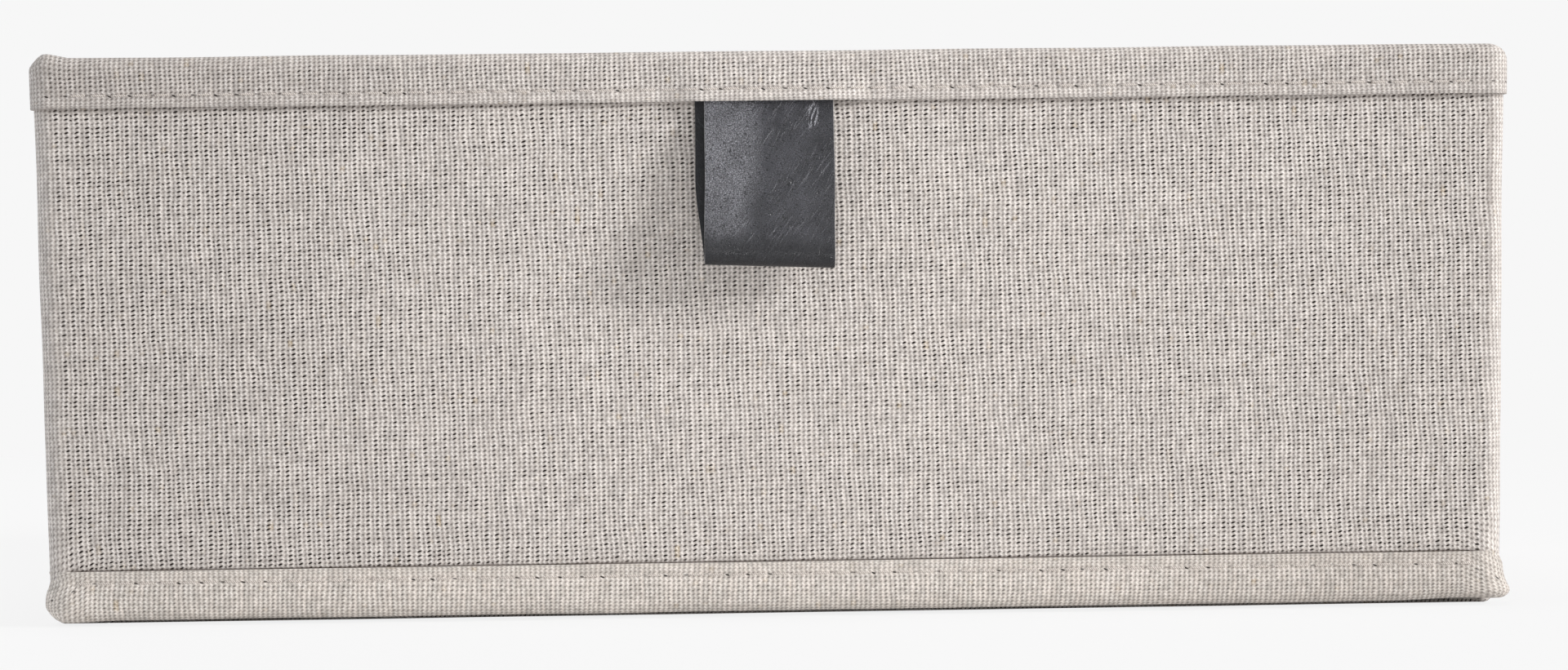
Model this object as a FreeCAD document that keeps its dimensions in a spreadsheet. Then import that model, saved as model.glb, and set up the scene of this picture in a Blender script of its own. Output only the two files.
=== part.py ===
"""Cloth-covered file box with a drawer.

A sleeve of board, covered in linen, holds a tray that slides out towards -Y. The tray carries a stiff
overlay front with a folded hem along its top, a folded binding along its bottom and a leather loop for a
pull, whose two ends are sewn in under the hem.

Frame: +X to the right, +Y to the back, +Z up, millimetres. The origin is on the underside of the sleeve,
at the middle of its footprint.
"""
import FreeCAD, Part
import math
import os
import re

import Sketcher

DOCUMENT = FreeCAD.newDocument("file_box")
FLAT = 1e-6  # lengths below this count as nothing
SLENDER = 4  # an edge runs along an axis if it is this many times longer that way than any other

# Driving dimensions in millimetres, or in degrees where the note says so: alias, value, note.
SIZES = (
    ("case_width", 333.0, "outside of the sleeve, left to right"),
    ("case_depth", 245.0, "outside of the sleeve, mouth to back"),
    ("case_height", 128.0, "outside of the sleeve, underside to top"),
    ("case_board", 2.5, "thickness of the sleeve's boards"),
    ("case_corner", 1.8, "rounding of the boards along the sleeve's long edges"),
    ("wrap_thick", 0.6, "thickness of the sleeve's cloth"),
    ("turn_in", 12.0, "width of cloth turned in at a mouth, a rim or an edge"),
    ("lining_thick", 0.3, "thickness of the paper linings"),
    ("tray_board", 2.2, "thickness of the tray's boards"),
    ("tray_corner", 1.4, "rounding of the tray boards' upright edges"),
    ("tray_cloth", 0.5, "thickness of the tray's cloth"),
    ("tray_side_gap", 1.0, "running gap between tray and sleeve, each side"),
    ("tray_floor_gap", 0.3, "running gap between tray and sleeve, below"),
    ("tray_head_gap", 8.3, "gap between tray and sleeve, above"),
    ("tray_back_gap", 2.0, "gap behind the closed tray"),
    ("front_gap", 0.3, "gap between the closed front and the sleeve's mouth"),
    ("front_lift", 0.6, "height of the front's lower edge above the ground"),
    ("front_rise", 2.0, "height of the front's upper edge above the sleeve"),
    ("flare_high", 2.6, "reach of the clothed panel past the sleeve at its top, each side"),
    ("flare_low", 0.1, "reach of the clothed panel past the sleeve at its bottom, each side"),
    ("front_board_thick", 7.0, "thickness of the front's board"),
    ("front_edge", 3.9, "rounding of the front board's two outer upright edges"),
    ("back_edge", 1.6, "rounding of the front board's two inner upright edges"),
    ("rim_edge", 1.1, "rounding of the front board's top and bottom"),
    ("cover_thick", 0.7, "thickness of the front's cloth"),
    ("bag_mouth", 1.2, "width of the slot left open along the top of the front's cloth"),
    ("bag_end", 10.0, "length of closed cloth at each end of that slot"),
    ("hem_thick", 0.9, "thickness of the folded hem and binding"),
    ("hem_height", 12.0, "height of the hem"),
    ("binding_height", 12.0, "height of the binding"),
    ("pull_width", 30.0, "width of the leather strap"),
    ("pull_drop", 38.5, "height of the hanging loop below the hem"),
    ("pull_leather", 1.3, "thickness of the leather"),
    ("pull_edge", 0.3, "rounding of the leather's cut edges"),
    ("pull_fold", 3.0, "outer radius of the fold at the loop's lower end"),
    ("pull_tilt", 12.0, "lean of the loop away from the front, in degrees"),
    ("pull_gap", 0.3, "gap between the loop and what it turns beside"),
    ("pull_tuck", 7.0, "height of strap sewn in under the hem"),
    ("pocket_rise", 8.8, "height over which the hem closes on the strap"),
    ("pocket_fade", 9.0, "width over which the hem falls back beside the strap"),
    ("pocket_play", 0.2, "gap beside the strap under the hem"),
    ("pocket_lap", 0.2, "extra width of the hem's bulge beside the hollow under it"),
)

# Places worked out from the driving dimensions: alias, formula.
PLACES = (
    # sleeve: outside faces, the boards' outer faces, their inner faces, the clear mouth, the lining
    ("mouth_y", "-case_depth / 2"),
    ("back_y", "case_depth / 2"),
    ("case_x", "case_width / 2"),
    ("core_x", "case_x - wrap_thick"),
    ("core_front", "mouth_y + wrap_thick"),
    ("core_back", "back_y - wrap_thick"),
    ("core_top", "case_height - wrap_thick"),
    ("inner_x", "core_x - case_board"),
    ("inner_back", "core_back - case_board"),
    ("inner_bottom", "wrap_thick + case_board"),
    ("inner_top", "core_top - case_board"),
    ("mouth_x", "inner_x - wrap_thick"),
    ("mouth_bottom", "inner_bottom + wrap_thick"),
    ("mouth_top", "inner_top - wrap_thick"),
    ("turn_x", "case_x - turn_in"),
    ("turn_y", "core_front + turn_in"),
    ("turn_top", "case_height - turn_in"),
    ("clear_x", "inner_x - lining_thick"),
    ("clear_back", "inner_back - lining_thick"),
    ("clear_bottom", "inner_bottom + lining_thick"),
    ("clear_top", "inner_top - lining_thick"),
    # overlay front, from the sleeve's mouth outwards and from the ground up
    ("seat_y", "mouth_y - front_gap"),
    ("panel_back", "seat_y - hem_thick"),
    ("panel_thick", "front_board_thick + 2 * cover_thick"),
    ("panel_front", "panel_back - panel_thick"),
    ("front_top", "case_height + front_rise"),
    ("panel_low", "front_lift + hem_thick"),
    ("panel_high", "front_top - hem_thick"),
    ("board_low", "panel_low + cover_thick"),
    ("board_high", "panel_high - cover_thick"),
    ("panel_slope", "(flare_high - flare_low) / (panel_high - panel_low)"),
    ("hem_low", "front_top - hem_height"),
    ("binding_high", "front_lift + binding_height"),
    # tray: outside of its cloth, its boards' outer faces, their inner faces, the cloth's turned-in edge
    ("tray_x", "mouth_x - tray_side_gap"),
    ("tray_back", "clear_back - tray_back_gap"),
    ("tray_low", "mouth_bottom + tray_floor_gap"),
    ("tray_high", "mouth_top - tray_head_gap"),
    ("box_x", "tray_x - tray_cloth"),
    ("box_front", "seat_y + tray_cloth"),
    ("box_back", "tray_back - tray_cloth"),
    ("box_low", "tray_low + tray_cloth"),
    ("box_high", "tray_high - tray_cloth"),
    ("well_x", "box_x - tray_board"),
    ("well_front", "box_front + tray_board"),
    ("well_back", "box_back - tray_board"),
    ("well_low", "box_low + tray_board"),
    ("rim_low", "box_high - turn_in"),
    # pull: two thicknesses of leather that turn just below the hem and just in front of the panel
    ("strap_thick", "2 * pull_leather"),
    ("root_thick", "strap_thick * (1 - pull_tuck / pocket_rise)"),
    ("pull_axis_y", "panel_front - pull_leather - pull_gap"),
    ("pull_axis_z", "hem_low - pull_leather - pull_gap"),
    ("pull_reach", "(pull_drop - pull_leather - pull_gap - pull_fold) / cos(pull_tilt * 1deg)"),
)


def fill_sheet():
    """Write every driving dimension as a plain number and every place as a formula, with aliases."""
    sheet = DOCUMENT.addObject("Spreadsheet::Sheet", "Sizes")
    rows = [(alias, str(number), note) for alias, number, note in SIZES]
    rows += [(alias, "=" + formula, "worked out") for alias, formula in PLACES]
    for number, (alias, content, note) in enumerate(rows, start=1):
        sheet.set(f"A{number}", note)
        sheet.set(f"B{number}", content)
        sheet.setAlias(f"B{number}", alias)
    DOCUMENT.recompute()
    return sheet


SHEET = fill_sheet()
ALIASES = {row[0] for row in SIZES + PLACES}


def named(expression):
    """Write each alias in an expression with the name of the sheet that holds it."""
    return re.sub(r"[a-z_]+", lambda word: f"Sizes.{word[0]}" if word[0] in ALIASES else word[0], expression)


def value(expression):
    """Return the number that an expression of aliases stands for."""
    return float(SHEET.evalExpression(expression))


# ---------------------------------------------------------------- sketches and features

def new_body(name):
    """Start a body that is a sub-part, or a form that sub-parts are cut from."""
    body = DOCUMENT.addObject("PartDesign::Body", name)
    body.Label = name
    return body


def new_sketch(body, plane, lift=None):
    """Add a sketch on one of the body's own planes, raised along the plane's normal."""
    sketch = body.newObject("Sketcher::SketchObject", body.Name + "_sketch")
    support = next(item for item in body.Origin.OriginFeatures if item.Role == plane)
    sketch.AttachmentSupport = [(support, "")]
    sketch.MapMode = "FlatFace"
    if lift is not None:
        sketch.setExpression("AttachmentOffset.Base.z", named(lift))
    return sketch


def add_bound(sketch, kind, references, expression):
    """Add a dimension to a sketch and bind it to an expression."""
    index = sketch.addConstraint(Sketcher.Constraint(kind, *references, value(expression)))
    sketch.setExpression(f"Constraints[{index}]", named(expression))


def pin_point(sketch, geometry, end, corner):
    """Hold one point of a sketch at the two coordinates that its expressions give."""
    for kind, axis, expression in zip(("DistanceX", "DistanceY"), (-2, -1), corner):
        if abs(value(expression)) < FLAT:
            sketch.addConstraint(Sketcher.Constraint("PointOnObject", geometry, end, axis))
        else:
            add_bound(sketch, kind, (-1, 1, geometry, end), expression)


def draw_polygon(sketch, corners):
    """Draw a closed outline of straight lines through corners given as pairs of expressions."""
    points = [FreeCAD.Vector(value(across), value(along), 0) for across, along in corners]
    count = len(points)
    for number in range(count):
        sketch.addGeometry(Part.LineSegment(points[number], points[(number + 1) % count]), False)
    for number in range(count):
        sketch.addConstraint(Sketcher.Constraint("Coincident", number, 2, (number + 1) % count, 1))
    for number, corner in enumerate(corners):
        pin_point(sketch, number, 1, corner)


def add_pad(body, sketch, length, midplane=False):
    """Pad a sketch along its normal, or to both sides of its plane."""
    pad = body.newObject("PartDesign::Pad", body.Name + "_pad")
    pad.Profile = sketch
    pad.Midplane = midplane
    pad.setExpression("Length", named(length))
    DOCUMENT.recompute()


def add_loft(body, lower, upper):
    """Loft in straight lines from one sketch to another."""
    loft = body.newObject("PartDesign::AdditiveLoft", body.Name + "_loft")
    loft.Profile = lower
    loft.Sections = [upper]
    loft.Ruled = True
    DOCUMENT.recompute()


def add_fillet(body, wanted, radius):
    """Round the edges of the body whose bounding boxes are wanted."""
    base = body.Tip
    names = [f"Edge{number}" for number, edge in enumerate(base.Shape.Edges, start=1)
             if wanted(edge.BoundBox)]
    if not names:
        raise RuntimeError(f"{body.Name}: no edge to round")
    fillet = body.newObject("PartDesign::Fillet", body.Name + "_fillet")
    fillet.Base = (base, names)
    fillet.setExpression("Radius", named(radius))
    DOCUMENT.recompute()


def place(item, **coordinates):
    """Bind coordinates of a sub-part's place, given as x=, y= or z=, to expressions."""
    for axis, expression in coordinates.items():
        item.setExpression(f"Placement.Base.{axis}", named(expression))
    return item


def runs_up(box):
    """Tell whether an edge with this bounding box runs mostly along Z."""
    return box.ZLength > SLENDER * max(box.XLength, box.YLength)


def stands_upright(box):
    """Tell whether an edge with this bounding box is exactly upright, however short it is."""
    return box.ZLength > FLAT and max(box.XLength, box.YLength) < FLAT


def runs_back(box):
    """Tell whether an edge with this bounding box is a straight one along Y."""
    return box.YLength > SLENDER * max(box.XLength, box.ZLength)


def combine(kind, name, base, tool):
    """Make a Part::Cut, Part::Common or Part::Fuse of two shapes."""
    result = DOCUMENT.addObject(kind, name)
    result.Label = name
    result.Base = base
    result.Tool = tool
    DOCUMENT.recompute()
    return result


def block(name, low, high):
    """Make a rectangular body between two corners, each a triple of expressions."""
    body = new_body(name)
    sketch = new_sketch(body, "XY_Plane")
    draw_polygon(sketch, (
        (low[0], low[1]),
        (high[0], low[1]),
        (high[0], high[1]),
        (low[0], high[1]),
    ))
    add_pad(body, sketch, f"{high[2]} - ({low[2]})")
    return place(body, z=low[2])


def middle_block(name, half_width, front, back, low, high):
    """Make a rectangular body that reaches as far to the left as to the right."""
    return block(name, (f"-({half_width})", front, low), (half_width, back, high))


def side_block(name, side, inner, outer, front, back, low, high):
    """Make a rectangular body to the left (side -1) or to the right (side 1)."""
    across = (f"-{outer}", f"-{inner}") if side < 0 else (inner, outer)
    return block(name, (across[0], front, low), (across[1], back, high))


# ---------------------------------------------------------------- sleeve

def case_boards():
    """Five boards: the top and bottom are rounded along their outer edges, the rest stand between."""
    span = ("core_x", "core_front", "core_back")
    top = middle_block("case_top_board", *span, "inner_top", "core_top")
    add_fillet(top, lambda box: runs_back(box) and box.ZMin > value("case_board / 2"), "case_corner")
    bottom = middle_block("case_bottom_board", *span, "wrap_thick", "inner_bottom")
    add_fillet(bottom, lambda box: runs_back(box) and box.ZMax < value("case_board / 2"), "case_corner")
    sides = [
        side_block(name, side, "inner_x", "core_x", "core_front", "core_back", "inner_bottom", "inner_top")
        for name, side in (("case_left_board", -1), ("case_right_board", 1))
    ]
    back = middle_block("case_back_board", "inner_x", "inner_back", "core_back", "inner_bottom", "inner_top")
    return [top, bottom, *sides, back]


def case_cloths():
    """A skin round the boards, turned in at the mouth, in three sheets that meet edge to edge."""
    outside = middle_block("case_outside_form", "case_x", "mouth_y", "back_y", "0", "case_height")
    add_fillet(outside, runs_back, "case_corner + wrap_thick")
    core = middle_block("case_core_form", "core_x", "core_front", "core_back", "wrap_thick", "core_top")
    add_fillet(core, runs_back, "case_corner")
    turned = middle_block("case_turned_form", "inner_x", "core_front", "turn_y", "inner_bottom", "inner_top")
    mouth = middle_block("case_mouth_form", "mouth_x", "mouth_y - turn_in", "turn_y",
                         "mouth_bottom", "mouth_top")
    closed_skin = combine("Part::Cut", "case_closed_skin", outside, core)
    filled_skin = combine("Part::Fuse", "case_filled_skin", closed_skin, turned)
    skin = combine("Part::Cut", "case_skin", filled_skin, mouth)
    base_zone = middle_block("case_base_zone", "turn_x", "mouth_y - turn_in", "core_back",
                             "-turn_in", "mouth_bottom")
    base = combine("Part::Common", "case_base_cloth", skin, base_zone)
    back = middle_block("case_back_cloth", "turn_x", "core_back", "back_y", "0", "turn_top")
    above_base = combine("Part::Cut", "case_skin_above_base", skin, base_zone)
    wrap = combine("Part::Cut", "case_wrap_cloth", above_base, back)
    return [wrap, base, back]


def case_linings():
    """Paper on the four inner walls behind the turned-in cloth, and a sheet on the back wall."""
    around = middle_block("case_lining_form", "inner_x", "turn_y", "clear_back", "inner_bottom", "inner_top")
    hollow = middle_block("case_hollow_form", "clear_x", "mouth_y", "back_y", "clear_bottom", "clear_top")
    lining = combine("Part::Cut", "case_lining", around, hollow)
    back = middle_block("case_back_lining", "inner_x", "clear_back", "inner_back",
                        "inner_bottom", "inner_top")
    return [lining, back]


# ---------------------------------------------------------------- tray

def tray_boards():
    """A floor over the whole footprint, long side walls on it, and end walls between those."""
    floor = middle_block("tray_floor_board", "box_x", "box_front", "box_back", "box_low", "well_low")
    add_fillet(floor, stands_upright, "tray_corner")
    walls = []
    for name, side in (("tray_left_board", -1), ("tray_right_board", 1)):
        wall = side_block(name, side, "well_x", "box_x", "box_front", "box_back", "well_low", "box_high")
        middle = value("(well_x + box_x) / 2")
        add_fillet(wall, lambda box: runs_up(box) and box.XMin * side > middle, "tray_corner")
        walls.append(wall)
    front = middle_block("tray_front_board", "well_x", "box_front", "well_front", "well_low", "box_high")
    back = middle_block("tray_back_board", "well_x", "well_back", "box_back", "well_low", "box_high")
    return [floor, *walls, front, back]


def tray_cloths():
    """A skin round the tray, turned in over the rim, and a paper lining below the turned-in edge."""
    outside = middle_block("tray_outside_form", "tray_x", "seat_y", "tray_back", "tray_low", "tray_high")
    add_fillet(outside, runs_up, "tray_corner + tray_cloth")
    core = middle_block("tray_core_form", "box_x", "box_front", "box_back", "box_low", "box_high")
    add_fillet(core, runs_up, "tray_corner")
    turned = middle_block("tray_turned_form", "well_x", "well_front", "well_back", "rim_low", "box_high")
    mouth = middle_block("tray_mouth_form", "well_x - tray_cloth", "well_front + tray_cloth",
                         "well_back - tray_cloth", "rim_low", "tray_high + turn_in")
    closed_skin = combine("Part::Cut", "tray_closed_skin", outside, core)
    filled_skin = combine("Part::Fuse", "tray_filled_skin", closed_skin, turned)
    wrap = combine("Part::Cut", "tray_wrap_cloth", filled_skin, mouth)
    well = middle_block("tray_well_form", "well_x", "well_front", "well_back", "well_low", "rim_low")
    hollow = middle_block("tray_hollow_form", "well_x - lining_thick", "well_front + lining_thick",
                          "well_back - lining_thick", "well_low + lining_thick", "tray_high")
    lining = combine("Part::Cut", "tray_lining", well, hollow)
    return [wrap, lining]


# ---------------------------------------------------------------- overlay front

def panel_half_width(height, grow):
    """Return the expression for the tapered panel's half width at a height, grown on each side."""
    return f"case_x + flare_low + panel_slope * ({height} - panel_low) + ({grow})"


def front_slab(name, low, high, grow, round_low, round_high):
    """Make a tapered slab round the panel's middle, with rounded upright edges and rims.

    The slab stands `grow` proud of the clothed panel at the front, the back and both ends. Each
    rounding grows with it, so that nested slabs leave a skin of even thickness between them.
    """
    body = new_body(name)
    sketch = new_sketch(body, "XZ_Plane")
    draw_polygon(sketch, (
        (f"-({panel_half_width(low, grow)})", low),
        (panel_half_width(low, grow), low),
        (panel_half_width(high, grow), high),
        (f"-({panel_half_width(high, grow)})", high),
    ))
    add_pad(body, sketch, f"panel_thick + 2 * ({grow})")
    middle = -value(f"panel_thick / 2 + ({grow})")
    add_fillet(body, lambda box: runs_up(box) and box.YMax < middle, f"front_edge + cover_thick + ({grow})")
    add_fillet(body, lambda box: runs_up(box) and box.YMin > middle, f"back_edge + cover_thick + ({grow})")
    for wanted, height in ((round_low, low), (round_high, high)):
        if wanted:
            level = value(height)
            add_fillet(body, lambda box: box.ZLength < FLAT and abs(box.ZMin - level) < FLAT,
                       f"rim_edge + cover_thick + ({grow})")
    return place(body, y=f"panel_back + ({grow})")


def strap_hump(body, surface, depth, half_width, embed):
    """Loft a hump out of a front surface: highest at the hem's lower edge, flat at pocket_rise.

    `surface` and `embed` are the body's own Y of the surface and of the hump's hidden back.
    """
    sections = []
    for lift, rise in (("hem_low", depth), ("hem_low + pocket_rise", "0")):
        sketch = new_sketch(body, "XY_Plane", lift)
        draw_polygon(sketch, (
            (f"-({half_width} + pocket_fade)", embed),
            (f"-({half_width} + pocket_fade)", surface),
            (f"-({half_width})", f"{surface} - ({rise})"),
            (half_width, f"{surface} - ({rise})"),
            (f"{half_width} + pocket_fade", surface),
            (f"{half_width} + pocket_fade", embed),
        ))
        sections.append(sketch)
    add_loft(body, *sections)


def front_parts():
    """Board, cloth bag, backing card, and the folded hem and binding that cap the panel."""
    board = front_slab("front_board", "board_low", "board_high", "-cover_thick", True, True)
    panel = front_slab("panel_form", "panel_low", "panel_high", "0", True, True)
    slot = middle_block("bag_mouth_form", "case_x - bag_end",
                        "panel_back - panel_thick / 2 - bag_mouth / 2",
                        "panel_back - panel_thick / 2 + bag_mouth / 2", "board_high", "front_top")
    closed_bag = combine("Part::Cut", "closed_bag", panel, board)
    cover = combine("Part::Cut", "front_cover", closed_bag, slot)

    binding_form = front_slab("binding_form", "front_lift", "binding_high", "hem_thick", True, False)
    binding = combine("Part::Cut", "bottom_binding", binding_form, panel)

    hem_form = front_slab("hem_form", "hem_low", "front_top", "hem_thick", False, True)
    strap_hump(hem_form, "-panel_thick - 2 * hem_thick", "strap_thick",
               "pull_width / 2 + pocket_play + pocket_lap", "-panel_thick - hem_thick")
    pocket = new_body("pocket_form")
    strap_hump(pocket, "panel_front", "strap_thick", "pull_width / 2 + pocket_play", "panel_back")
    closed_hem = combine("Part::Cut", "closed_hem", hem_form, panel)
    hem = combine("Part::Cut", "top_hem", closed_hem, pocket)

    backing = new_body("front_backing")
    sketch = new_sketch(backing, "XZ_Plane")
    inset = "-back_edge - cover_thick"
    draw_polygon(sketch, (
        (f"-({panel_half_width('binding_high', inset)})", "binding_high"),
        (panel_half_width("binding_high", inset), "binding_high"),
        (panel_half_width("hem_low", inset), "hem_low"),
        (f"-({panel_half_width('hem_low', inset)})", "hem_low"),
    ))
    add_pad(backing, sketch, "hem_thick")
    place(backing, y="seat_y")
    return [board, cover, backing, hem, binding]


# ---------------------------------------------------------------- leather pull

def pull_root():
    """The strap's two ends, pressed together and pared to a wedge, under the hem."""
    body = new_body("pull_root")
    sketch = new_sketch(body, "YZ_Plane")
    draw_polygon(sketch, (
        ("panel_front", "hem_low"),
        ("panel_front", "hem_low + pull_tuck"),
        ("panel_front - root_thick", "hem_low + pull_tuck"),
        ("panel_front - strap_thick", "hem_low"),
    ))
    add_pad(body, sketch, "pull_width", midplane=True)
    return body


def draw_drop(sketch, top, bottom):
    """Draw a closed outline round the loop's axis and its fold: two arcs and their outer tangents.

    `top` and `bottom` are the expressions of the two radii. With a `top` of "0" the tangents meet in
    a point on the axis.
    """
    reach = value("pull_reach")
    lean = math.asin(value(f"({bottom}) - ({top})") / reach)
    axis, bend = FreeCAD.Vector(0, 0, 0), FreeCAD.Vector(0, -reach, 0)
    right = FreeCAD.Vector(math.cos(lean), math.sin(lean), 0)
    left = FreeCAD.Vector(-math.cos(lean), math.sin(lean), 0)
    upward = FreeCAD.Vector(0, 0, 1)

    def arc(centre, radius, start, end):
        circle = Part.Circle(centre, upward, value(radius))
        return sketch.addGeometry(Part.ArcOfCircle(circle, start, end), False)

    def line(start, end):
        return sketch.addGeometry(Part.LineSegment(start, end), False)

    fold = arc(bend, bottom, math.pi - lean, math.tau + lean)
    go_down = line(axis + left * value(top), bend + left * value(bottom))
    go_up = line(bend + right * value(bottom), axis + right * value(top))
    joints = [
        ("PointOnObject", fold, 3, -2),
        ("Tangent", go_down, 2, fold, 1),
        ("Tangent", fold, 2, go_up, 1),
    ]
    if value(top) > FLAT:
        cap = arc(axis, top, lean, math.pi - lean)
        joints += [
            ("Coincident", cap, 3, -1, 1),
            ("Tangent", cap, 2, go_down, 1),
            ("Tangent", go_up, 2, cap, 1),
        ]
    else:
        joints += [("Coincident", go_down, 1, -1, 1), ("Coincident", go_up, 2, -1, 1)]
    for kind, *references in joints:
        sketch.addConstraint(Sketcher.Constraint(kind, *references))
    if value(top) > FLAT:
        add_bound(sketch, "Radius", (cap,), top)
    add_bound(sketch, "Radius", (fold,), bottom)
    add_bound(sketch, "DistanceY", (-1, 1, fold, 3), "-pull_reach")


def pull_loop():
    """The free loop of the strap: two layers that part from the turning axis down to a round fold.

    The hollow has the outside's tangents moved in by one thickness of leather, so they meet on the axis.
    """
    body = new_body("pull_loop")
    outside = new_sketch(body, "YZ_Plane")
    draw_drop(outside, "pull_leather", "pull_fold")
    add_pad(body, outside, "pull_width", midplane=True)
    add_fillet(body, lambda box: box.XLength < FLAT, "pull_edge")
    inside = new_sketch(body, "YZ_Plane")
    draw_drop(inside, "0", "pull_fold - pull_leather")
    hollow = body.newObject("PartDesign::Pocket", "pull_hollow")
    hollow.Profile = inside
    hollow.Midplane = True
    hollow.setExpression("Length", named("pull_width"))
    DOCUMENT.recompute()
    body.Placement.Rotation = FreeCAD.Rotation(FreeCAD.Vector(-1, 0, 0), value("pull_tilt"))
    body.setExpression("Placement.Rotation.Angle", named("pull_tilt") + " * 1deg")
    return place(body, y="pull_axis_y", z="pull_axis_z")


# ---------------------------------------------------------------- document and files

def check(parts):
    """Stop if any object failed or any sub-part has a missing or broken shape."""
    failed = [item.Name for item in DOCUMENT.Objects
              if "Invalid" in item.State or "Error" in item.State]
    broken = [item.Label for item in parts if item.Shape.isNull() or not item.Shape.isValid()]
    if failed or broken:
        raise RuntimeError(f"failed objects {failed}, broken shapes {broken}")


def main():
    """Build every sub-part, check it and write it to its own file."""
    parts = [
        *case_boards(),
        *case_cloths(),
        *case_linings(),
        *tray_boards(),
        *tray_cloths(),
        *front_parts(),
        pull_root(),
        pull_loop(),
    ]
    DOCUMENT.recompute()
    check(parts)
    os.makedirs("parts", exist_ok=True)
    for item in parts:
        item.Shape.exportStep(f"parts/{item.Label}.step")
        box = item.Shape.BoundBox
        print(f"{item.Label:20s} {len(item.Shape.Solids)} solid(s) {item.Shape.Volume:10.1f} mm3  "
              f"x {box.XMin:8.2f} {box.XMax:8.2f}  y {box.YMin:8.2f} {box.YMax:8.2f}  "
              f"z {box.ZMin:7.2f} {box.ZMax:7.2f}")


main()
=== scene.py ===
"""Cloth-covered file box with a drawer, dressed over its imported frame.

A linen-covered sleeve holds a tray drawer with a sewn overlay front and a folded leather pull. Sizes
in the classes are in millimetres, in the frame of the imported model: +X to the right, +Y to the back,
+Z up, with the sleeve's underside at zero. Meshes are written in metres.
"""

import logging
import math
from collections.abc import Callable, Iterable, Sequence
from dataclasses import dataclass, field
from enum import Enum
from functools import partialmethod

import bmesh
import bpy
from mathutils import Matrix, Vector, noise


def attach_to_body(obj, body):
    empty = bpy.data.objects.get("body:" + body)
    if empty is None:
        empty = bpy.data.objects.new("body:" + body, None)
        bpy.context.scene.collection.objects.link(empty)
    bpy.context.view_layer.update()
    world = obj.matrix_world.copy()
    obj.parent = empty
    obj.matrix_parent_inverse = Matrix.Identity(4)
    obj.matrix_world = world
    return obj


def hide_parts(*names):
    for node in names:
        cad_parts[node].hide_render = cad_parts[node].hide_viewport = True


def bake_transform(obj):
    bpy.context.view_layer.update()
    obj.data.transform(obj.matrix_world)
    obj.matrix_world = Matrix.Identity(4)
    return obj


MM = 0.001
NEAR = 1e-3
CLOTH_MAP = "cloth"
OPENNESS = "openness"
SHADE = "shade"
LOG = logging.getLogger("file_box")

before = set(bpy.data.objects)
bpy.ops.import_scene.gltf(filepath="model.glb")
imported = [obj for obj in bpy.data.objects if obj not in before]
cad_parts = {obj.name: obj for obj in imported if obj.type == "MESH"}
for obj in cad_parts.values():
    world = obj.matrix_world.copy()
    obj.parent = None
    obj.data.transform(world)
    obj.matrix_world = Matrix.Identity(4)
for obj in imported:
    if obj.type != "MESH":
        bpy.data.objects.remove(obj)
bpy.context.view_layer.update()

Triple = tuple[float, float, float]
Colour = Triple
Pair = tuple[float, float]
Mesh = bmesh.types.BMesh
ClothPlace = Callable[[Vector, bmesh.types.BMFace], Pair]


class Body(Enum):
    """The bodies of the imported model."""

    CASE = "case"
    DRAWER = "drawer"
    PULL = "pull"


class Slot(Enum):
    """The record's material slots of the pieces that are made here."""

    LINEN = "linen"
    LEATHER = "leather"


class Closed(Enum):
    """The ends at which a cloth of the front is closed."""

    HEAD = "head"
    FOOT = "foot"
    BOTH = "both"


def from_bytes(red: int, green: int, blue: int) -> Colour:
    """Turn a colour written in screen bytes, 0 to 255, into linear light, 0 to 1."""
    def linear(byte: int) -> float:
        """Undo the screen's curve for one channel."""
        share = byte / 255
        return share / 12.92 if share <= 0.04045 else ((share + 0.055) / 1.055) ** 2.4

    return linear(red), linear(green), linear(blue)


def ease(value: float, low: float, high: float) -> float:
    """Rise smoothly from 0 at `low` to 1 at `high`, which may lie the other way round."""
    share = min(1.0, max(0.0, (value - low) / (high - low)))
    return share * share * (3 - 2 * share)


def bell(value: float, centre: float, reach: float) -> float:
    """Return a smooth bump of height 1 at `centre` that ends `reach` away on both sides."""
    return 1 - ease(abs(value - centre), 0, reach)


def ripple(x: float, y: float, z: float, wave: float, seed: float = 0.0) -> float:
    """Return steady unevenness between about -1 and 1, in waves of `wave` millimetres that `seed` shifts."""
    return noise.noise(Vector((x / wave + seed, y / wave - seed, z / wave + 2 * seed)))


# ------------------------------------------------------------------------------------------ finishes


class Wire:
    """What one node hands to the next. Sums and products of wires write further Math nodes."""

    def __init__(self, nodes: "NodeWriter", socket: bpy.types.NodeSocket) -> None:
        """Take hold of an output of one of the writer's nodes."""
        self.nodes = nodes
        self.socket = socket

    def combined(self, operation: str, other: "Wire | float") -> "Wire":
        """Return the result of a Math node for this wire and another value."""
        return self.nodes.math(operation, self, other)

    __add__ = partialmethod(combined, "ADD")
    __sub__ = partialmethod(combined, "SUBTRACT")
    __mul__ = partialmethod(combined, "MULTIPLY")
    __truediv__ = partialmethod(combined, "DIVIDE")
    __pow__ = partialmethod(combined, "POWER")


Input = Wire | float | Sequence[float]


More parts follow.
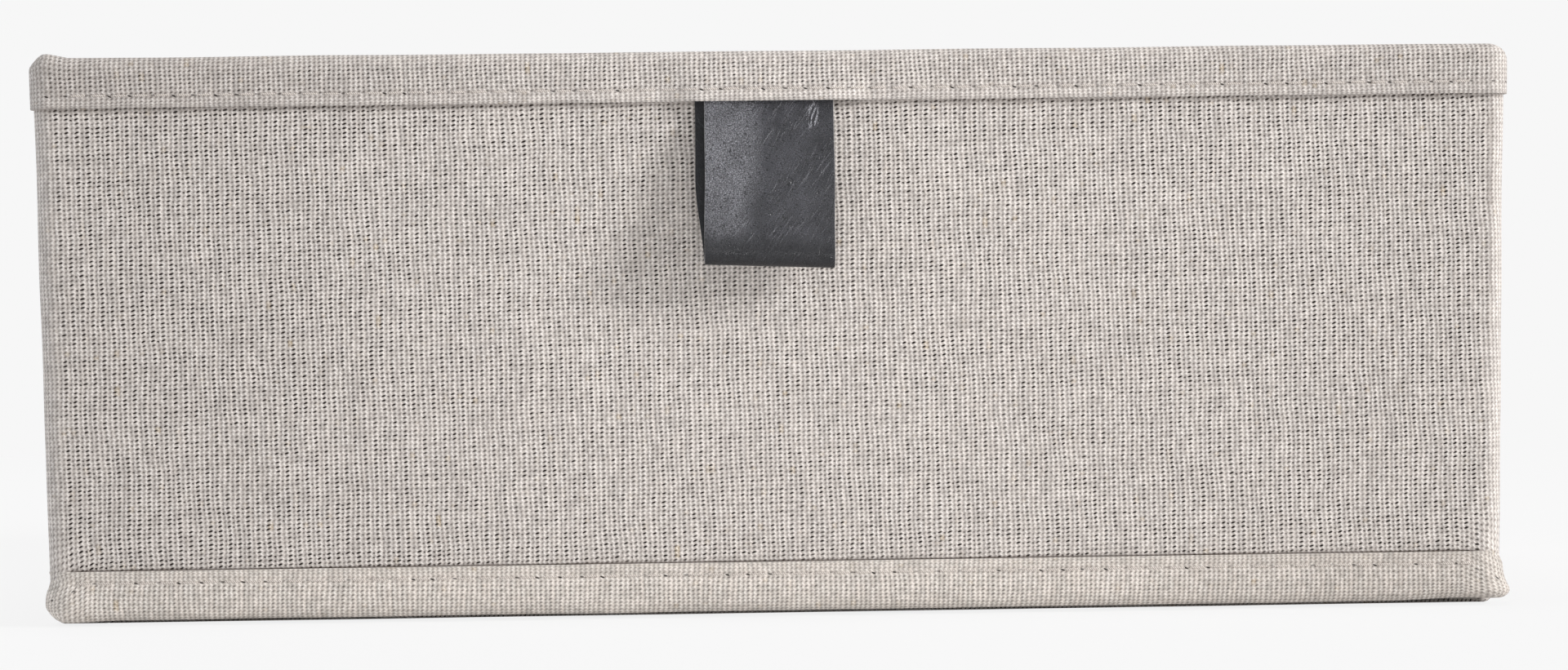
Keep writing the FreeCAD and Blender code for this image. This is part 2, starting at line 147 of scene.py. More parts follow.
class NodeWriter:
    """Writes the nodes of one material, or of the surroundings."""

    def __init__(self, tree: bpy.types.NodeTree) -> None:
        """Empty a node tree and write into it."""
        self.tree = tree
        self.tree.nodes.clear()

    def add(self, kind: str, inputs: dict[str | int, Input] | None = None, **settings: object) -> bpy.types.Node:
        """Add a node, set it up and wire or fill its inputs.

        Args:
            kind: The node's type.
            inputs: Values or wires by input name or number.
            **settings: The node's own properties.

        Returns:
            The node.
        """
        node = self.tree.nodes.new(kind)
        for name, setting in settings.items():
            setattr(node, name, setting)
        for key, content in (inputs or {}).items():
            if isinstance(content, Wire):
                self.tree.links.new(content.socket, node.inputs[key])
            else:
                node.inputs[key].default_value = content
        return node

    def wire(self, kind: str, inputs: dict[str | int, Input] | None = None, output: str | int = 0,
             **settings: object) -> Wire:
        """Add a node like `add` and return one of its outputs, by name or number."""
        return Wire(self, self.add(kind, inputs, **settings).outputs[output])

    def math(self, operation: str, *values: Input) -> Wire:
        """Add a Math node and return its result."""
        return self.wire("ShaderNodeMath", dict(enumerate(values)), operation=operation)

    def vector(self, operation: str, *values: Input) -> Wire:
        """Add a Vector Math node of vectors and return its resulting vector."""
        return self.wire("ShaderNodeVectorMath", dict(enumerate(values)), operation=operation)

    def scaled(self, vector: Input, factors: Triple) -> Wire:
        """Multiply a vector by one factor for each axis."""
        return self.vector("MULTIPLY", vector, factors)

    def dot(self, vector: Input, other: Triple) -> Wire:
        """Return the dot product of a vector with a fixed one."""
        return self.wire("ShaderNodeVectorMath", {0: vector, 1: other}, "Value", operation="DOT_PRODUCT")

    def joined(self, x: Input, y: Input, z: Input = 0.0) -> Wire:
        """Join three numbers into a vector."""
        return self.wire("ShaderNodeCombineXYZ", {0: x, 1: y, 2: z})

    def split(self, vector: Input) -> list[Wire]:
        """Split a vector into its three numbers."""
        return [Wire(self, socket) for socket in self.add("ShaderNodeSeparateXYZ", {0: vector}).outputs]

    def attribute(self, name: str) -> Wire:
        """Return a number painted on the mesh."""
        return self.wire("ShaderNodeAttribute", output="Fac", attribute_name=name)

    def on_cloth(self) -> Wire:
        """Return the place on the piece's cloth map, in millimetres."""
        return self.scaled(self.wire("ShaderNodeUVMap", uv_map=CLOTH_MAP), (1 / MM, 1 / MM, 0.0))

    def in_space(self) -> Wire:
        """Return the place in space, in millimetres."""
        return self.scaled(self.wire("ShaderNodeTexCoord", output="Object"), (1 / MM, 1 / MM, 1 / MM))

    def rays(self, *kinds: str) -> Wire:
        """Return 1 for rays of any of these kinds and 0 for others."""
        outputs = self.add("ShaderNodeLightPath").outputs
        found, *others = (Wire(self, outputs[f"Is {kind} Ray"]) for kind in kinds)
        for other in others:
            found = self.math("MAXIMUM", found, other)
        return found

    def smooth(self, value: Input, low: float, high: float, start: float = 0.0, end: float = 1.0) -> Wire:
        """Map a value smoothly from the range low to high onto the range start to end."""
        ranges = {"Value": value, "From Min": low, "From Max": high, "To Min": start, "To Max": end}
        return self.wire("ShaderNodeMapRange", ranges, interpolation_type="SMOOTHSTEP")

    def mixed(self, factor: Input, first: Input, second: Input, blend: str = "MIX") -> Wire:
        """Lay the second colour over the first, by a factor from 0 to 1."""
        wet = [colour if isinstance(colour, Wire) else (*colour, 1.0) for colour in (first, second)]
        inputs = {0: factor, 6: wet[0], 7: wet[1]}
        return self.wire("ShaderNodeMix", inputs, 2, data_type="RGBA", blend_type=blend)

    def cloud(self, place: Input, scale: float, detail: float = 2.0) -> Wire:
        """Return smooth noise around 0.5."""
        return self.wire("ShaderNodeTexNoise", {"Vector": place, "Scale": scale, "Detail": detail})

    def wander(self, place: Input, scale: float) -> Wire:
        """Return a vector that wanders smoothly around zero."""
        noisy = self.wire("ShaderNodeTexNoise", {"Vector": place, "Scale": scale}, 1)
        return self.vector("SUBTRACT", noisy, (0.5, 0.5, 0.5))

    def dice(self, place: Input) -> Wire:
        """Return a number from 0 to 1 that is fixed for each place."""
        return self.wire("ShaderNodeTexWhiteNoise", {"Vector": place}, "Value", noise_dimensions="3D")

    def finish(self, colour: Input, roughness: Input, height: Input, depth: float, **constants: float) -> None:
        """Close the material with a Principled shader and a bump.

        Args:
            colour: The base colour.
            roughness: The roughness.
            height: The relief, as a share of `depth`.
            depth: The relief's depth in millimetres.
            **constants: Plain values for other sockets, with _ for a space in the socket's name.
        """
        bump = self.wire("ShaderNodeBump", {"Strength": 1.0, "Distance": depth * MM, "Height": height})
        surface = {"Base Color": colour, "Roughness": roughness, "Normal": bump}
        extras = {name.replace("_", " "): constant for name, constant in constants.items()}
        shader = self.wire("ShaderNodeBsdfPrincipled", surface | extras)
        self.add("ShaderNodeOutputMaterial", {"Surface": shader})


@dataclass(frozen=True)
class Finish:
    """A procedural material."""

    name: str

    def write(self, nodes: NodeWriter) -> None:
        """Write the finish's nodes."""
        raise NotImplementedError

    def build(self) -> bpy.types.Material:
        """Return the finished material."""
        material = bpy.data.materials.new(self.name)
        material.use_nodes = True
        self.write(NodeWriter(material.node_tree))
        return material


@dataclass(frozen=True)
class SewnRow:
    """A row of needle holes across a cloth."""

    height: float
    pitch: float


@dataclass(frozen=True)
class GapSet:
    """Slanted oval gaps in a weave, one in every cell of two ribs by one pick.

    Attributes:
        offset: Shift of the gaps, in cells.
        size: Half width and half height of a gap, in millimetres.
        lean: How far a gap climbs for each millimetre across.
        salt: Keeps the random strengths of two sets apart.
        strength: The least and the greatest strength of a gap.
    """

    offset: Triple
    size: Pair
    lean: float
    salt: float
    strength: Pair


@dataclass(frozen=True)
class LinenFinish(Finish):
    """Coarse linen with an open gap beside every second rib, laid on by the piece's own cloth map.

    Attributes:
        gap_strength: How strong the gaps are as a whole.
        evenness: 0 for gaps of very different strength, 1 for gaps that are much alike.
        skew: Turn of the weave, in degrees.
        rib: Distance between ribs in millimetres.
        pick: Distance between picks in millimetres.
        seed: Shifts the pattern, so that pieces differ.
        rows: Rows of needle holes.
    """

    gap_strength: float = 1.0
    evenness: float = 0.0
    skew: float = -1.2
    rib: float = 1.125
    pick: float = 1.02
    seed: float = 0.0
    rows: tuple[SewnRow, ...] = ()
    cool: Colour = from_bytes(208, 201, 196)
    warm: Colour = from_bytes(214, 206, 200)
    # Tone of the painted highlight on the threads' crowns.
    crown_highlight: Colour = from_bytes(237, 231, 227)
    slub: Colour = from_bytes(186, 166, 134)
    # Tone of the painted shade in the weave's gaps and needle holes.
    hollow: Colour = from_bytes(38, 28, 24)
    # Tone of the painted shade that the mesh's shade numbers mix in.
    painted_shade_tone: Colour = from_bytes(88, 78, 71)

    def write(self, nodes: NodeWriter) -> None:
        """Write the finish's nodes."""
        straight = nodes.on_cloth()
        place = self.woven(nodes, straight)
        column, line, _ = nodes.split(nodes.vector("FLOOR", nodes.scaled(place, (1 / self.rib, 1 / self.pick, 0.0))))
        across, along, _ = nodes.split(place)
        thread = nodes.cloud(nodes.joined(column * 1.37, along * 0.12, self.seed), 1.0, 1.0)
        pick_tone = nodes.cloud(nodes.joined(across * 0.08, line * 1.37, self.seed + 9), 1.0, 1.0)
        slubs = nodes.cloud(nodes.joined(column * 0.83, along * 0.22, 31.0), 1.0, 3.0)
        fuzz = nodes.cloud(place, 3.1, 3.0)
        knot = nodes.dice(nodes.joined(column, line, 3.5))
        gap = self.gaps(nodes, place, line)
        raised = self.knuckles(nodes, place)

        colour = nodes.mixed(nodes.smooth(thread * 0.75 + pick_tone * 0.25, 0.36, 0.64), self.cool, self.warm)
        colour = nodes.mixed(nodes.smooth(slubs, 0.62, 0.8, 0.0, 0.7), colour, self.slub)
        uneven = thread * 0.2 + pick_tone * 0.24 + fuzz * 0.2 + knot * 0.2 + 0.58
        # Painted shade in the grooves between threads, times the threads' random tone.
        shade = nodes.smooth(raised, 0.0, 0.95, 0.34, 1.0) * uneven
        colour = nodes.mixed(1.0, colour, nodes.joined(shade, shade ** 1.04, shade ** 1.08), "MULTIPLY")
        # Painted highlight on the threads' crowns, of random strength.
        sparkle = nodes.smooth(knot, 0.2, 1.0, 0.1, 0.85)
        colour = nodes.mixed(nodes.smooth(raised, 0.78, 1.0) * sparkle, colour, self.crown_highlight)
        # Painted shade in the weave's gaps.
        colour = nodes.mixed(gap * 0.93, colour, self.hollow)
        # Painted shade, from the shade numbers painted on the mesh.
        colour = nodes.mixed(nodes.attribute(SHADE), colour, self.painted_shade_tone)
        height = raised - gap
        for row in self.rows:
            hole = self.needle_holes(nodes, straight, row)
            # Painted shade in the needle holes.
            colour = nodes.mixed(hole, colour, self.hollow)
            height = height - hole
        nodes.finish(colour, 0.92, height + fuzz * 0.35, 0.16, Sheen_Weight=0.12, Specular_IOR_Level=0.25)

    def woven(self, nodes: NodeWriter, straight: Wire) -> Wire:
        """Turn the cloth map and let it wander, as threads do, and return the place in the weave."""
        turned = nodes.wire("ShaderNodeMapping", {
            "Vector": straight, "Rotation": (0.0, 0.0, math.radians(self.skew)),
            "Location": (37.0 * self.seed, 11.0 * self.seed, self.seed)})
        slow = nodes.scaled(nodes.wander(turned, 0.07), (1.5, 0.9, 0.0))
        quick = nodes.scaled(nodes.wander(turned, 0.55), (0.3, 0.3, 0.0))
        return nodes.vector("ADD", nodes.vector("ADD", turned, slow), quick)

    def gaps(self, nodes: NodeWriter, place: Wire, line: Wire) -> Wire:
        """Return a mask with strong gaps beside every second rib and weak ones between them."""
        strong = GapSet((0.0, 0.0, 0.0), (0.42 - 0.09 * self.evenness, 0.2), 0.26, 0.5,
                        (0.45, 1.0 - 0.25 * self.evenness))
        weak = GapSet((0.5, 0.2, 0.0), (0.28, 0.18), -0.3, 7.5, (0.1 + 0.25 * self.evenness, 0.6))
        line_open = nodes.smooth(nodes.dice(nodes.joined(4.5, line, 2.5)), 0, 1, 0.8, 1.25)
        patch = nodes.smooth(nodes.cloud(place, 0.16), 0.3, 0.7, 0.86, 1.16)
        open_here = line_open * patch * (nodes.attribute(OPENNESS) * self.gap_strength)
        masks = [self.gap_mask(nodes, place, gap_set) * open_here for gap_set in (strong, weak)]
        return nodes.math("MAXIMUM", *masks)

    def gap_mask(self, nodes: NodeWriter, place: Wire, gap_set: GapSet) -> Wire:
        """Return the mask of one set of gaps, each with its own random strength."""
        shifted = nodes.vector("ADD", nodes.scaled(place, (0.5 / self.rib, 1 / self.pick, 0.0)), gap_set.offset)
        inside = nodes.vector("SUBTRACT", nodes.vector("FRACTION", shifted), (0.5, 0.5, 0.0))
        half_width, half_height = gap_set.size
        across = nodes.dot(inside, (2 * self.rib / half_width, 0.0, 0.0))
        along = nodes.dot(inside, (-gap_set.lean * 2 * self.rib / half_height, self.pick / half_height, 0.0))
        distance = (across * across + along * along) ** 0.5
        luck = nodes.dice(nodes.vector("ADD", nodes.vector("FLOOR", shifted), (0.5, 0.5, gap_set.salt)))
        return nodes.smooth(distance, 1.45, 0.5) * nodes.smooth(luck, 0.0, 1.0, *gap_set.strength)

    def knuckles(self, nodes: NodeWriter, place: Wire) -> Wire:
        """Stand wavering ribs side by side, with the picks between them seen as low bumps.

        Returns the height of the upper thread: 0 in a gap, and 1 where a thread lies on top.
        """
        across, along, _ = nodes.split(nodes.scaled(place, (math.pi / self.rib, math.pi / self.pick, 0.0)))
        swing = nodes.math("SINE", along * 2.0 + 0.6) * 0.52
        rib = nodes.math("ABSOLUTE", nodes.math("SINE", across + swing))
        lifted = along + nodes.math("SINE", across * 2.0) * 0.3
        between = nodes.math("ABSOLUTE", nodes.math("COSINE", lifted)) ** 0.5
        return nodes.math("MAXIMUM", rib * (between * 0.4 + 0.6), between * 0.55)

    def needle_holes(self, nodes: NodeWriter, straight: Wire, row: SewnRow) -> Wire:
        """Return the mask of the painted shade in the needle holes of a sewn row, as dark ovals."""
        half_width, half_height = 0.48, 0.2
        across, along, _ = nodes.split(straight)
        count = across / row.pitch
        number = nodes.math("FLOOR", count)
        luck = nodes.dice(nodes.joined(number, 5.5, row.height))
        centre = nodes.dice(nodes.joined(number, 8.5, row.height)) * 0.16 + 0.42
        aside = (nodes.math("FRACT", count) - centre) * (row.pitch / half_width)
        lift = (luck - 0.5) * 0.4
        above = (along - row.height + (lift + aside * (lift * 0.9))) / half_height
        far = aside * aside + above * above
        return nodes.smooth(far, 1.6, 0.4) * nodes.smooth(luck, 0.1, 0.9, 0.3, 0.95)


@dataclass(frozen=True)
class LeatherFinish(Finish):
    """Charcoal leather: fine pores, slanted scuffs, a painted sheen on one side and painted shade at its folded end.
    """

    name: str = "charcoal_leather"
    ground: Colour = from_bytes(84, 84, 90)
    # Pale tone of the scuffs, which are wear, and of the painted sheen.
    wear_and_sheen: Colour = from_bytes(172, 172, 178)
    # Tone of the painted glints at the creases.
    crease: Colour = from_bytes(186, 186, 193)
    deep: Colour = from_bytes(22, 22, 25)
    fold: float = 46.6

    def write(self, nodes: NodeWriter) -> None:
        """Write the finish's nodes."""
        place = nodes.on_cloth()
        across, along, _ = nodes.split(place)
        down = along + self.fold
        pores = nodes.wire("ShaderNodeTexVoronoi", {"Vector": place, "Scale": 2.3, "Randomness": 1.0},
                           feature="DISTANCE_TO_EDGE")
        grain = nodes.smooth(pores, 0.0, 0.16)
        mottle = nodes.cloud(place, 0.16, 5.0)
        speckle = nodes.cloud(place, 2.4, 3.0)

        scuffs = nodes.math("MAXIMUM", self.streaks(nodes, place, -54, (8.0, 0.55), (0.55, 0.72)),
                            self.streaks(nodes, place, -66, (4.5, 0.3), (0.57, 0.74)))
        scuffs = scuffs * nodes.smooth(nodes.cloud(place, 0.11, 1.0), 0.4, 0.6, 0.15, 1.0)
        # Painted sheen over the left side of the front layer, broken up by the mottle.
        painted_sheen = self.patch(nodes, (across, down), (-11.0, 19.0), (9.5, 25.0))
        painted_sheen = painted_sheen * nodes.smooth(mottle, 0.36, 0.6, 0.7, 1.0)
        # Painted glints at small creases near the top of the right side.
        pinched = self.patch(nodes, (speckle * 2.5 + across, down), (11.3, 10.8), (1.5, 4.2))
        pinched = pinched * self.streaks(nodes, place, -78, (2.2, 0.5), (0.46, 0.6))
        # Painted shade from the lower end of the front layer over the fold and the rear layer, half as much towards
        # the right edge.
        ends = nodes.math("MAXIMUM", nodes.smooth(down, self.fold - 9.0, self.fold - 3.5),
                          nodes.smooth(across, 6.0, 15.0) * 0.5)

        colour = nodes.mixed(nodes.smooth(mottle, 0.3, 0.7, 0.5, 0.9), self.deep, self.ground)
        # Painted sheen, speckled; the scuffs below are wear in the same pale tone.
        colour = nodes.mixed(painted_sheen * nodes.smooth(speckle, 0.32, 0.68, 0.2, 0.75), colour, self.wear_and_sheen)
        colour = nodes.mixed(scuffs * 0.5, colour, self.wear_and_sheen)
        # Painted glints at the creases.
        colour = nodes.mixed(pinched, colour, self.crease)
        # Painted shade over the fold, the rear layer and the right edge.
        colour = nodes.mixed(ends * 0.75, colour, self.deep)
        colour = nodes.mixed(nodes.smooth(grain, 0.0, 1.0, 0.85, 0.0), colour, self.deep)
        roughness = nodes.smooth(mottle + scuffs * 0.3, 0.3, 0.9, 0.34, 0.52)
        height = grain * 0.7 + mottle * 1.2 + nodes.math("MAXIMUM", scuffs, pinched) * 1.2
        nodes.finish(colour, roughness, height, 0.14, Specular_IOR_Level=0.42)

    def streaks(self, nodes: NodeWriter, place: Wire, turn: float, size: Pair, window: Pair) -> Wire:
        """Return fine random streaks that all run one way, at `turn` degrees.

        `size` is a streak's length and width, and `window` the noise levels where it starts and where it is full.
        """
        drawn = nodes.wire("ShaderNodeMapping", {
            "Vector": place, "Rotation": (0.0, 0.0, math.radians(turn)), "Scale": (*size, 1.0)},
            vector_type="TEXTURE")
        return nodes.smooth(nodes.cloud(drawn, 1.0, 2.0), *window)

    def patch(self, nodes: NodeWriter, place: tuple[Wire, Wire], centre: Pair, size: Pair) -> Wire:
        """Return a soft oval on the front layer, placed from the strap's middle and its sewn end."""
        aside, below = ((way - middle) / half for way, middle, half in zip(place, centre, size))
        return nodes.smooth(aside * aside + below * below, 1.3, 0.0)


@dataclass(frozen=True)
class CutLeatherFinish(Finish):
    """The pale, fibrous cut edge of the leather."""

    name: str = "cut_leather"
    light: Colour = from_bytes(168, 165, 164)
    dark: Colour = from_bytes(112, 110, 112)

    def write(self, nodes: NodeWriter) -> None:
        """Write the finish's nodes."""
        fibre = nodes.cloud(nodes.in_space(), 2.6, 4.0)
        nodes.finish(nodes.mixed(nodes.smooth(fibre, 0.3, 0.7), self.dark, self.light), 0.8, fibre, 0.1)


@dataclass(frozen=True)
class BoardFinish(Finish):
    """Grey board pressed in layers, with paler and darker fibres."""

    light: Colour = from_bytes(178, 170, 158)
    dark: Colour = from_bytes(140, 132, 120)
    fibre: Colour = from_bytes(92, 86, 78)

    def write(self, nodes: NodeWriter) -> None:
        """Write the finish's nodes."""
        place = nodes.in_space()
        pulp = nodes.cloud(place, 0.35, 5.0)
        fibres = nodes.cloud(nodes.scaled(place, (0.4, 0.4, 5.0)), 1.1, 3.0)
        colour = nodes.mixed(nodes.smooth(pulp, 0.3, 0.7), self.dark, self.light)
        colour = nodes.mixed(nodes.smooth(fibres, 0.6, 0.75, 0.0, 0.5), colour, self.fibre)
        nodes.finish(colour, 0.95, pulp + fibres, 0.12)


@dataclass(frozen=True)
class PaperFinish(Finish):
    """Laid lining paper, warm white with short fibres and a faint cockle."""

    light: Colour = from_bytes(214, 208, 199)
    dark: Colour = from_bytes(200, 193, 183)
    fleck: Colour = from_bytes(158, 146, 128)

    def write(self, nodes: NodeWriter) -> None:
        """Write the finish's nodes."""
        place = nodes.in_space()
        cockle = nodes.cloud(place, 0.03, 2.0)
        pulp = nodes.cloud(place, 0.8, 4.0)
        flecks = nodes.smooth(nodes.cloud(nodes.scaled(place, (1.0, 2.6, 1.6)), 0.9, 2.0), 0.68, 0.78)
        colour = nodes.mixed(nodes.smooth(pulp, 0.3, 0.7), self.dark, self.light)
        colour = nodes.mixed(flecks * 0.45, colour, self.fleck)
        nodes.finish(colour, 0.85, cockle * 2.0 + pulp * 0.3, 0.2)


@dataclass(frozen=True)
class ThreadFinish(Finish):
    """Plied sewing thread in the cloth's colour."""

    name: str = "sewing_thread"
    light: Colour = from_bytes(222, 214, 208)
    dark: Colour = from_bytes(168, 156, 146)
    twist: float = 0.5

    def write(self, nodes: NodeWriter) -> None:
        """Write the finish's nodes."""
        across, _, up = nodes.split(nodes.in_space())
        ply = nodes.math("SINE", (across + up) * (2 * math.pi / self.twist))
        # Painted shade in the grooves between the plies.
        colour = nodes.mixed(nodes.smooth(ply, -1.0, 0.6), self.dark, self.light)
        nodes.finish(colour, 0.8, ply, 0.05, Sheen_Weight=0.1)


@dataclass(frozen=True)
class StageFinish(Finish):
    """Floor that shows one pale grey, with the object's shadow left in part."""

    tone: float
    shown: float = 0.9

    def write(self, nodes: NodeWriter) -> None:
        """Write the finish's nodes."""
        place = nodes.wire("ShaderNodeTexCoord", output="Object")
        grain = nodes.smooth(nodes.cloud(place, 3.0), 0.2, 0.8, self.tone - 0.01, self.tone)
        matt = nodes.wire("ShaderNodeBsdfDiffuse", {"Color": nodes.joined(grain, grain, grain)})
        glow = nodes.wire("ShaderNodeEmission", {"Color": (self.tone, self.tone, self.tone, 1.0), "Strength": 1.0})
        away = nodes.wire("ShaderNodeVectorMath", {0: place}, "Value", operation="LENGTH")
        share = nodes.rays("Camera", "Glossy", "Transmission") * nodes.smooth(away, 0.35, 1.1, self.shown, 1.0)
        nodes.add("ShaderNodeOutputMaterial", {
            "Surface": nodes.wire("ShaderNodeMixShader", {0: share, 1: matt, 2: glow})})


# ------------------------------------------------------------------------------------------ workshop


def slice_mesh(shape: Mesh, axis: int, places: Iterable[float]) -> None:
    """Cut every face of a mesh along planes across one axis, at places in millimetres."""
    normal = Vector()
    normal[axis] = 1.0
    for place in places:
        bmesh.ops.bisect_plane(shape, geom=shape.verts[:] + shape.edges[:] + shape.faces[:], dist=1e-5,
                               plane_co=normal * place, plane_no=normal)


def steps(low: float, high: float, pitch: float) -> list[float]:
    """Return evenly spaced places strictly between two ends, about `pitch` apart."""
    count = max(1, round((high - low) / pitch))
    return [low + (high - low) * number / count for number in range(1, count)]


def block(low: Sequence[float], high: Sequence[float]) -> Mesh:
    """Start a mesh as a cube that is stretched between two corners in millimetres."""
    shape = bmesh.new()
    bmesh.ops.create_cube(shape, size=1.0)
    bmesh.ops.scale(shape, vec=[top - bottom for bottom, top in zip(low, high)], verts=shape.verts)
    bmesh.ops.translate(shape, vec=[(bottom + top) / 2 for bottom, top in zip(low, high)], verts=shape.verts)
    return shape


def round_edges(shape: Mesh, wanted: Callable[[Vector, Vector], bool], radius: float, segments: int) -> None:
    """Round the edges that `wanted` picks by their two ends, with `segments` faces across."""
    edges = [edge for edge in shape.edges if wanted(edge.verts[0].co, edge.verts[1].co)]
    bmesh.ops.bevel(shape, geom=edges, offset=radius, offset_type="OFFSET", segments=segments, profile=0.5,
                    affect="EDGES", material=-1, clamp_overlap=False)


def is_upright(first: Vector, second: Vector) -> bool:
    """Tell whether an edge runs mostly along Z."""
    return abs(first.z - second.z) > 3 * (first.xy - second.xy).length


def drop_faces(shape: Mesh, unwanted: Callable[[bmesh.types.BMFace], bool]) -> None:
    """Delete the faces that `unwanted` picks, with the edges and points that only they use."""
    bmesh.ops.delete(shape, geom=[face for face in shape.faces if unwanted(face)], context="FACES")


def put_in_scene(name: str, data: bpy.types.ID) -> bpy.types.Object:
    """Put a mesh, a light or a camera into the scene."""
    made = bpy.data.objects.new(name, data)
    bpy.context.scene.collection.objects.link(made)
    return made


def write_mesh(name: str, shape: Mesh, *finishes: bpy.types.Material, sharp: float = 40.0) -> bpy.types.Object:
    """Turn a mesh in millimetres into an object in metres.

    Args:
        name: The object's name.
        shape: The mesh, which is used up.
        *finishes: Its materials.
        sharp: Edges that turn by more than this many degrees stay sharp.

    Returns:
        The object, at the origin.
    """
    bmesh.ops.dissolve_degenerate(shape, dist=0.01, edges=shape.edges)
    bmesh.ops.scale(shape, vec=(MM, MM, MM), verts=shape.verts)
    mesh = bpy.data.meshes.new(name)
    shape.to_mesh(mesh)
    shape.free()
    for finish in finishes:
        mesh.materials.append(finish)
    mesh.shade_smooth()
    mesh.set_sharp_from_angle(angle=math.radians(sharp))
    LOG.info("%s: %d faces", name, len(mesh.polygons))
    return put_in_scene(name, mesh)


def thicken(piece: bpy.types.Object, thickness: float, lip: float, centred: bool = False) -> None:
    """Give a skin its thickness inwards, or to both sides, and round the lips that this makes.

    Args:
        piece: The skin.
        thickness: Thickness in millimetres.
        lip: Rounding of the lips in millimetres, 0 for none.
        centred: Whether the skin is the middle of the sheet, whose lips then show the second material.
    """
    solid = piece.modifiers.new("thickness", "SOLIDIFY")
    solid.thickness = thickness * MM
    solid.offset = 0.0 if centred else -1.0
    solid.material_offset_rim = 1 if centred else 0
    if lip:
        rounding = piece.modifiers.new("lip", "BEVEL")
        rounding.width = lip * MM
        rounding.segments = 3
        rounding.limit_method = "ANGLE"
        rounding.angle_limit = math.radians(50)


def attach(piece: bpy.types.Object, body: Body, slot: Slot, *nodes: str) -> None:
    """Let a piece ride on a body and hide the nodes that it stands for."""
    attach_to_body(piece, body.value)
    if nodes:
        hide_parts(*nodes)


def lay_cloth(shape: Mesh, place: ClothPlace) -> None:
    """Write the cloth map in metres; `place` gives a corner's place on the flat cloth in millimetres."""
    layer = shape.loops.layers.uv.new(CLOTH_MAP)
    for face in shape.faces:
        for loop in face.loops:
            across, along = place(loop.vert.co, face)
            loop[layer].uv = (across * MM, along * MM)


def paint(shape: Mesh, name: str, amount: Callable[[Vector], float]) -> None:
    """Write a number for every vertex, read by the finishes, from the vertex's place in millimetres."""
    layer = shape.verts.layers.float.new(name)
    for vertex in shape.verts:
        vertex[layer] = amount(vertex.co)


def dress_nodes(finish: bpy.types.Material, *names: str) -> None:
    """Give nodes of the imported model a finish."""
    for name in names:
        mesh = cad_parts[name].data
        mesh.materials.clear()
        mesh.materials.append(finish)
        LOG.info("%s: %s", name, finish.name)


# ------------------------------------------------------------------------------------------ front


@dataclass
class FrontOutline:
    """The overlay front's clothed slab, tapered towards its foot and rounded all round."""

    half_foot: float = 166.6
    slope: float = 2.5 / 127.6
    foot: float = 1.5
    head: float = 129.1
    face: float = -132.1
    rear: float = -123.7
    face_round: float = 4.6
    rear_round: float = 2.3
    rim_round: float = 1.8

    def half(self, height: float, grow: float = 0.0) -> float:
        """Return half the width at a height, for a slab grown by `grow`."""
        return self.half_foot + self.slope * (height - self.foot) + grow

    def faces_out(self, y: float) -> bool:
        """Tell whether a place belongs to the front half of the slab."""
        return y < (self.face + self.rear) / 2

    def slab(self, low: float, high: float, grow: float, closed: Closed) -> Mesh:
        """Make a slab between two heights.

        Args:
            low: Its foot.
            high: Its head.
            grow: How far it stands proud of the clothed slab.
            closed: The ends at which it is closed and rounded.

        Returns:
            The mesh.
        """
        back = self.rear + grow
        shape = block((-1, self.face - grow, low), (1, back, high))
        for vertex in shape.verts:
            vertex.co.x *= self.half(vertex.co.z, grow)
        round_edges(shape, lambda one, two: is_upright(one, two) and self.faces_out(one.y), self.face_round + grow,
                    segments=8)
        round_edges(shape, lambda one, two: is_upright(one, two) and max(abs(one.y - back), abs(two.y - back)) < NEAR,
                    self.rear_round + grow, segments=5)
        open_ends = {Closed.HEAD: (low, -1), Closed.FOOT: (high, 1)}
        for height, loose in ((low, Closed.HEAD), (high, Closed.FOOT)):
            if closed is not loose:
                round_edges(shape, lambda one, two: max(abs(one.z - height), abs(two.z - height)) < 1e-4,
                            self.rim_round + grow, segments=6)
        shape.normal_update()
        if closed in open_ends:
            end, sense = open_ends[closed]
            drop_faces(shape, lambda face: face.normal.z * sense > 0.99
                       and abs(face.calc_center_median().z - end) < NEAR)
        return shape

    def cloth_place(self, low: float, high: float, grow: float) -> ClothPlace:
        """Return the cloth map of a slab: round its plan across, and up its face and over its rims along.

        Args:
            low: The slab's foot.
            high: The slab's head.
            grow: How far it stands proud of the clothed slab.

        Returns:
            A function for lay_cloth.
        """
        rim = self.rim_round + grow
        front, back = self.face - grow, self.rear + grow
        front_round, back_round = self.face_round + grow, self.rear_round + grow
        lying = 0.72
        droop, droop_start, droop_end = 0.42, 157.0, 168.0

        def round_plan(point: Vector) -> float:
            """Return the distance from the middle of the face, round the plan's outline."""
            half, x = self.half(point.z, grow), abs(point.x)
            flat = half - front_round
            flank = flat + front_round * math.pi / 2
            if point.y > back - back_round - 1e-6:
                turned = flank + back - back_round - front - front_round
                if x < half - back_round:
                    return turned + back_round * math.pi / 2 + half - back_round - x
                return turned + back_round * math.atan2(point.y - back + back_round, x - half + back_round)
            if point.y >= front + front_round:
                return flank + point.y - front - front_round
            if x < flat:
                return x
            return flat + front_round * math.atan2(x - flat, front + front_round - point.y)

        def up_face(height: float) -> float:
            """Return the height, drawn out where a rim turns away."""
            if height > high - rim:
                return high - rim + rim * math.asin(min(1.0, (height - high + rim) / rim))
            if height < low + rim:
                return low + rim - rim * math.asin(min(1.0, (low + rim - height) / rim))
            return height

        def place(point: Vector, face: bmesh.types.BMFace) -> Pair:
            """Return the place of a face's corner on the cloth."""
            if abs(face.normal.z) > lying:
                depth = min(1.0, max(0.0, (front + rim - point.y) / rim))
                over = math.acos(depth) * rim + max(0.0, point.y - front - rim)
                return point.x, high - rim + over if face.normal.z > 0 else low + rim - over
            side = 1.0 if face.calc_center_median().x >= 0 else -1.0
            sunk = droop * max(0.0, min(abs(point.x), droop_end) - droop_start) * (1 - ease(point.z, 9.0, 24.0))
            return side * round_plan(point), up_face(point.z) + sunk

        return place


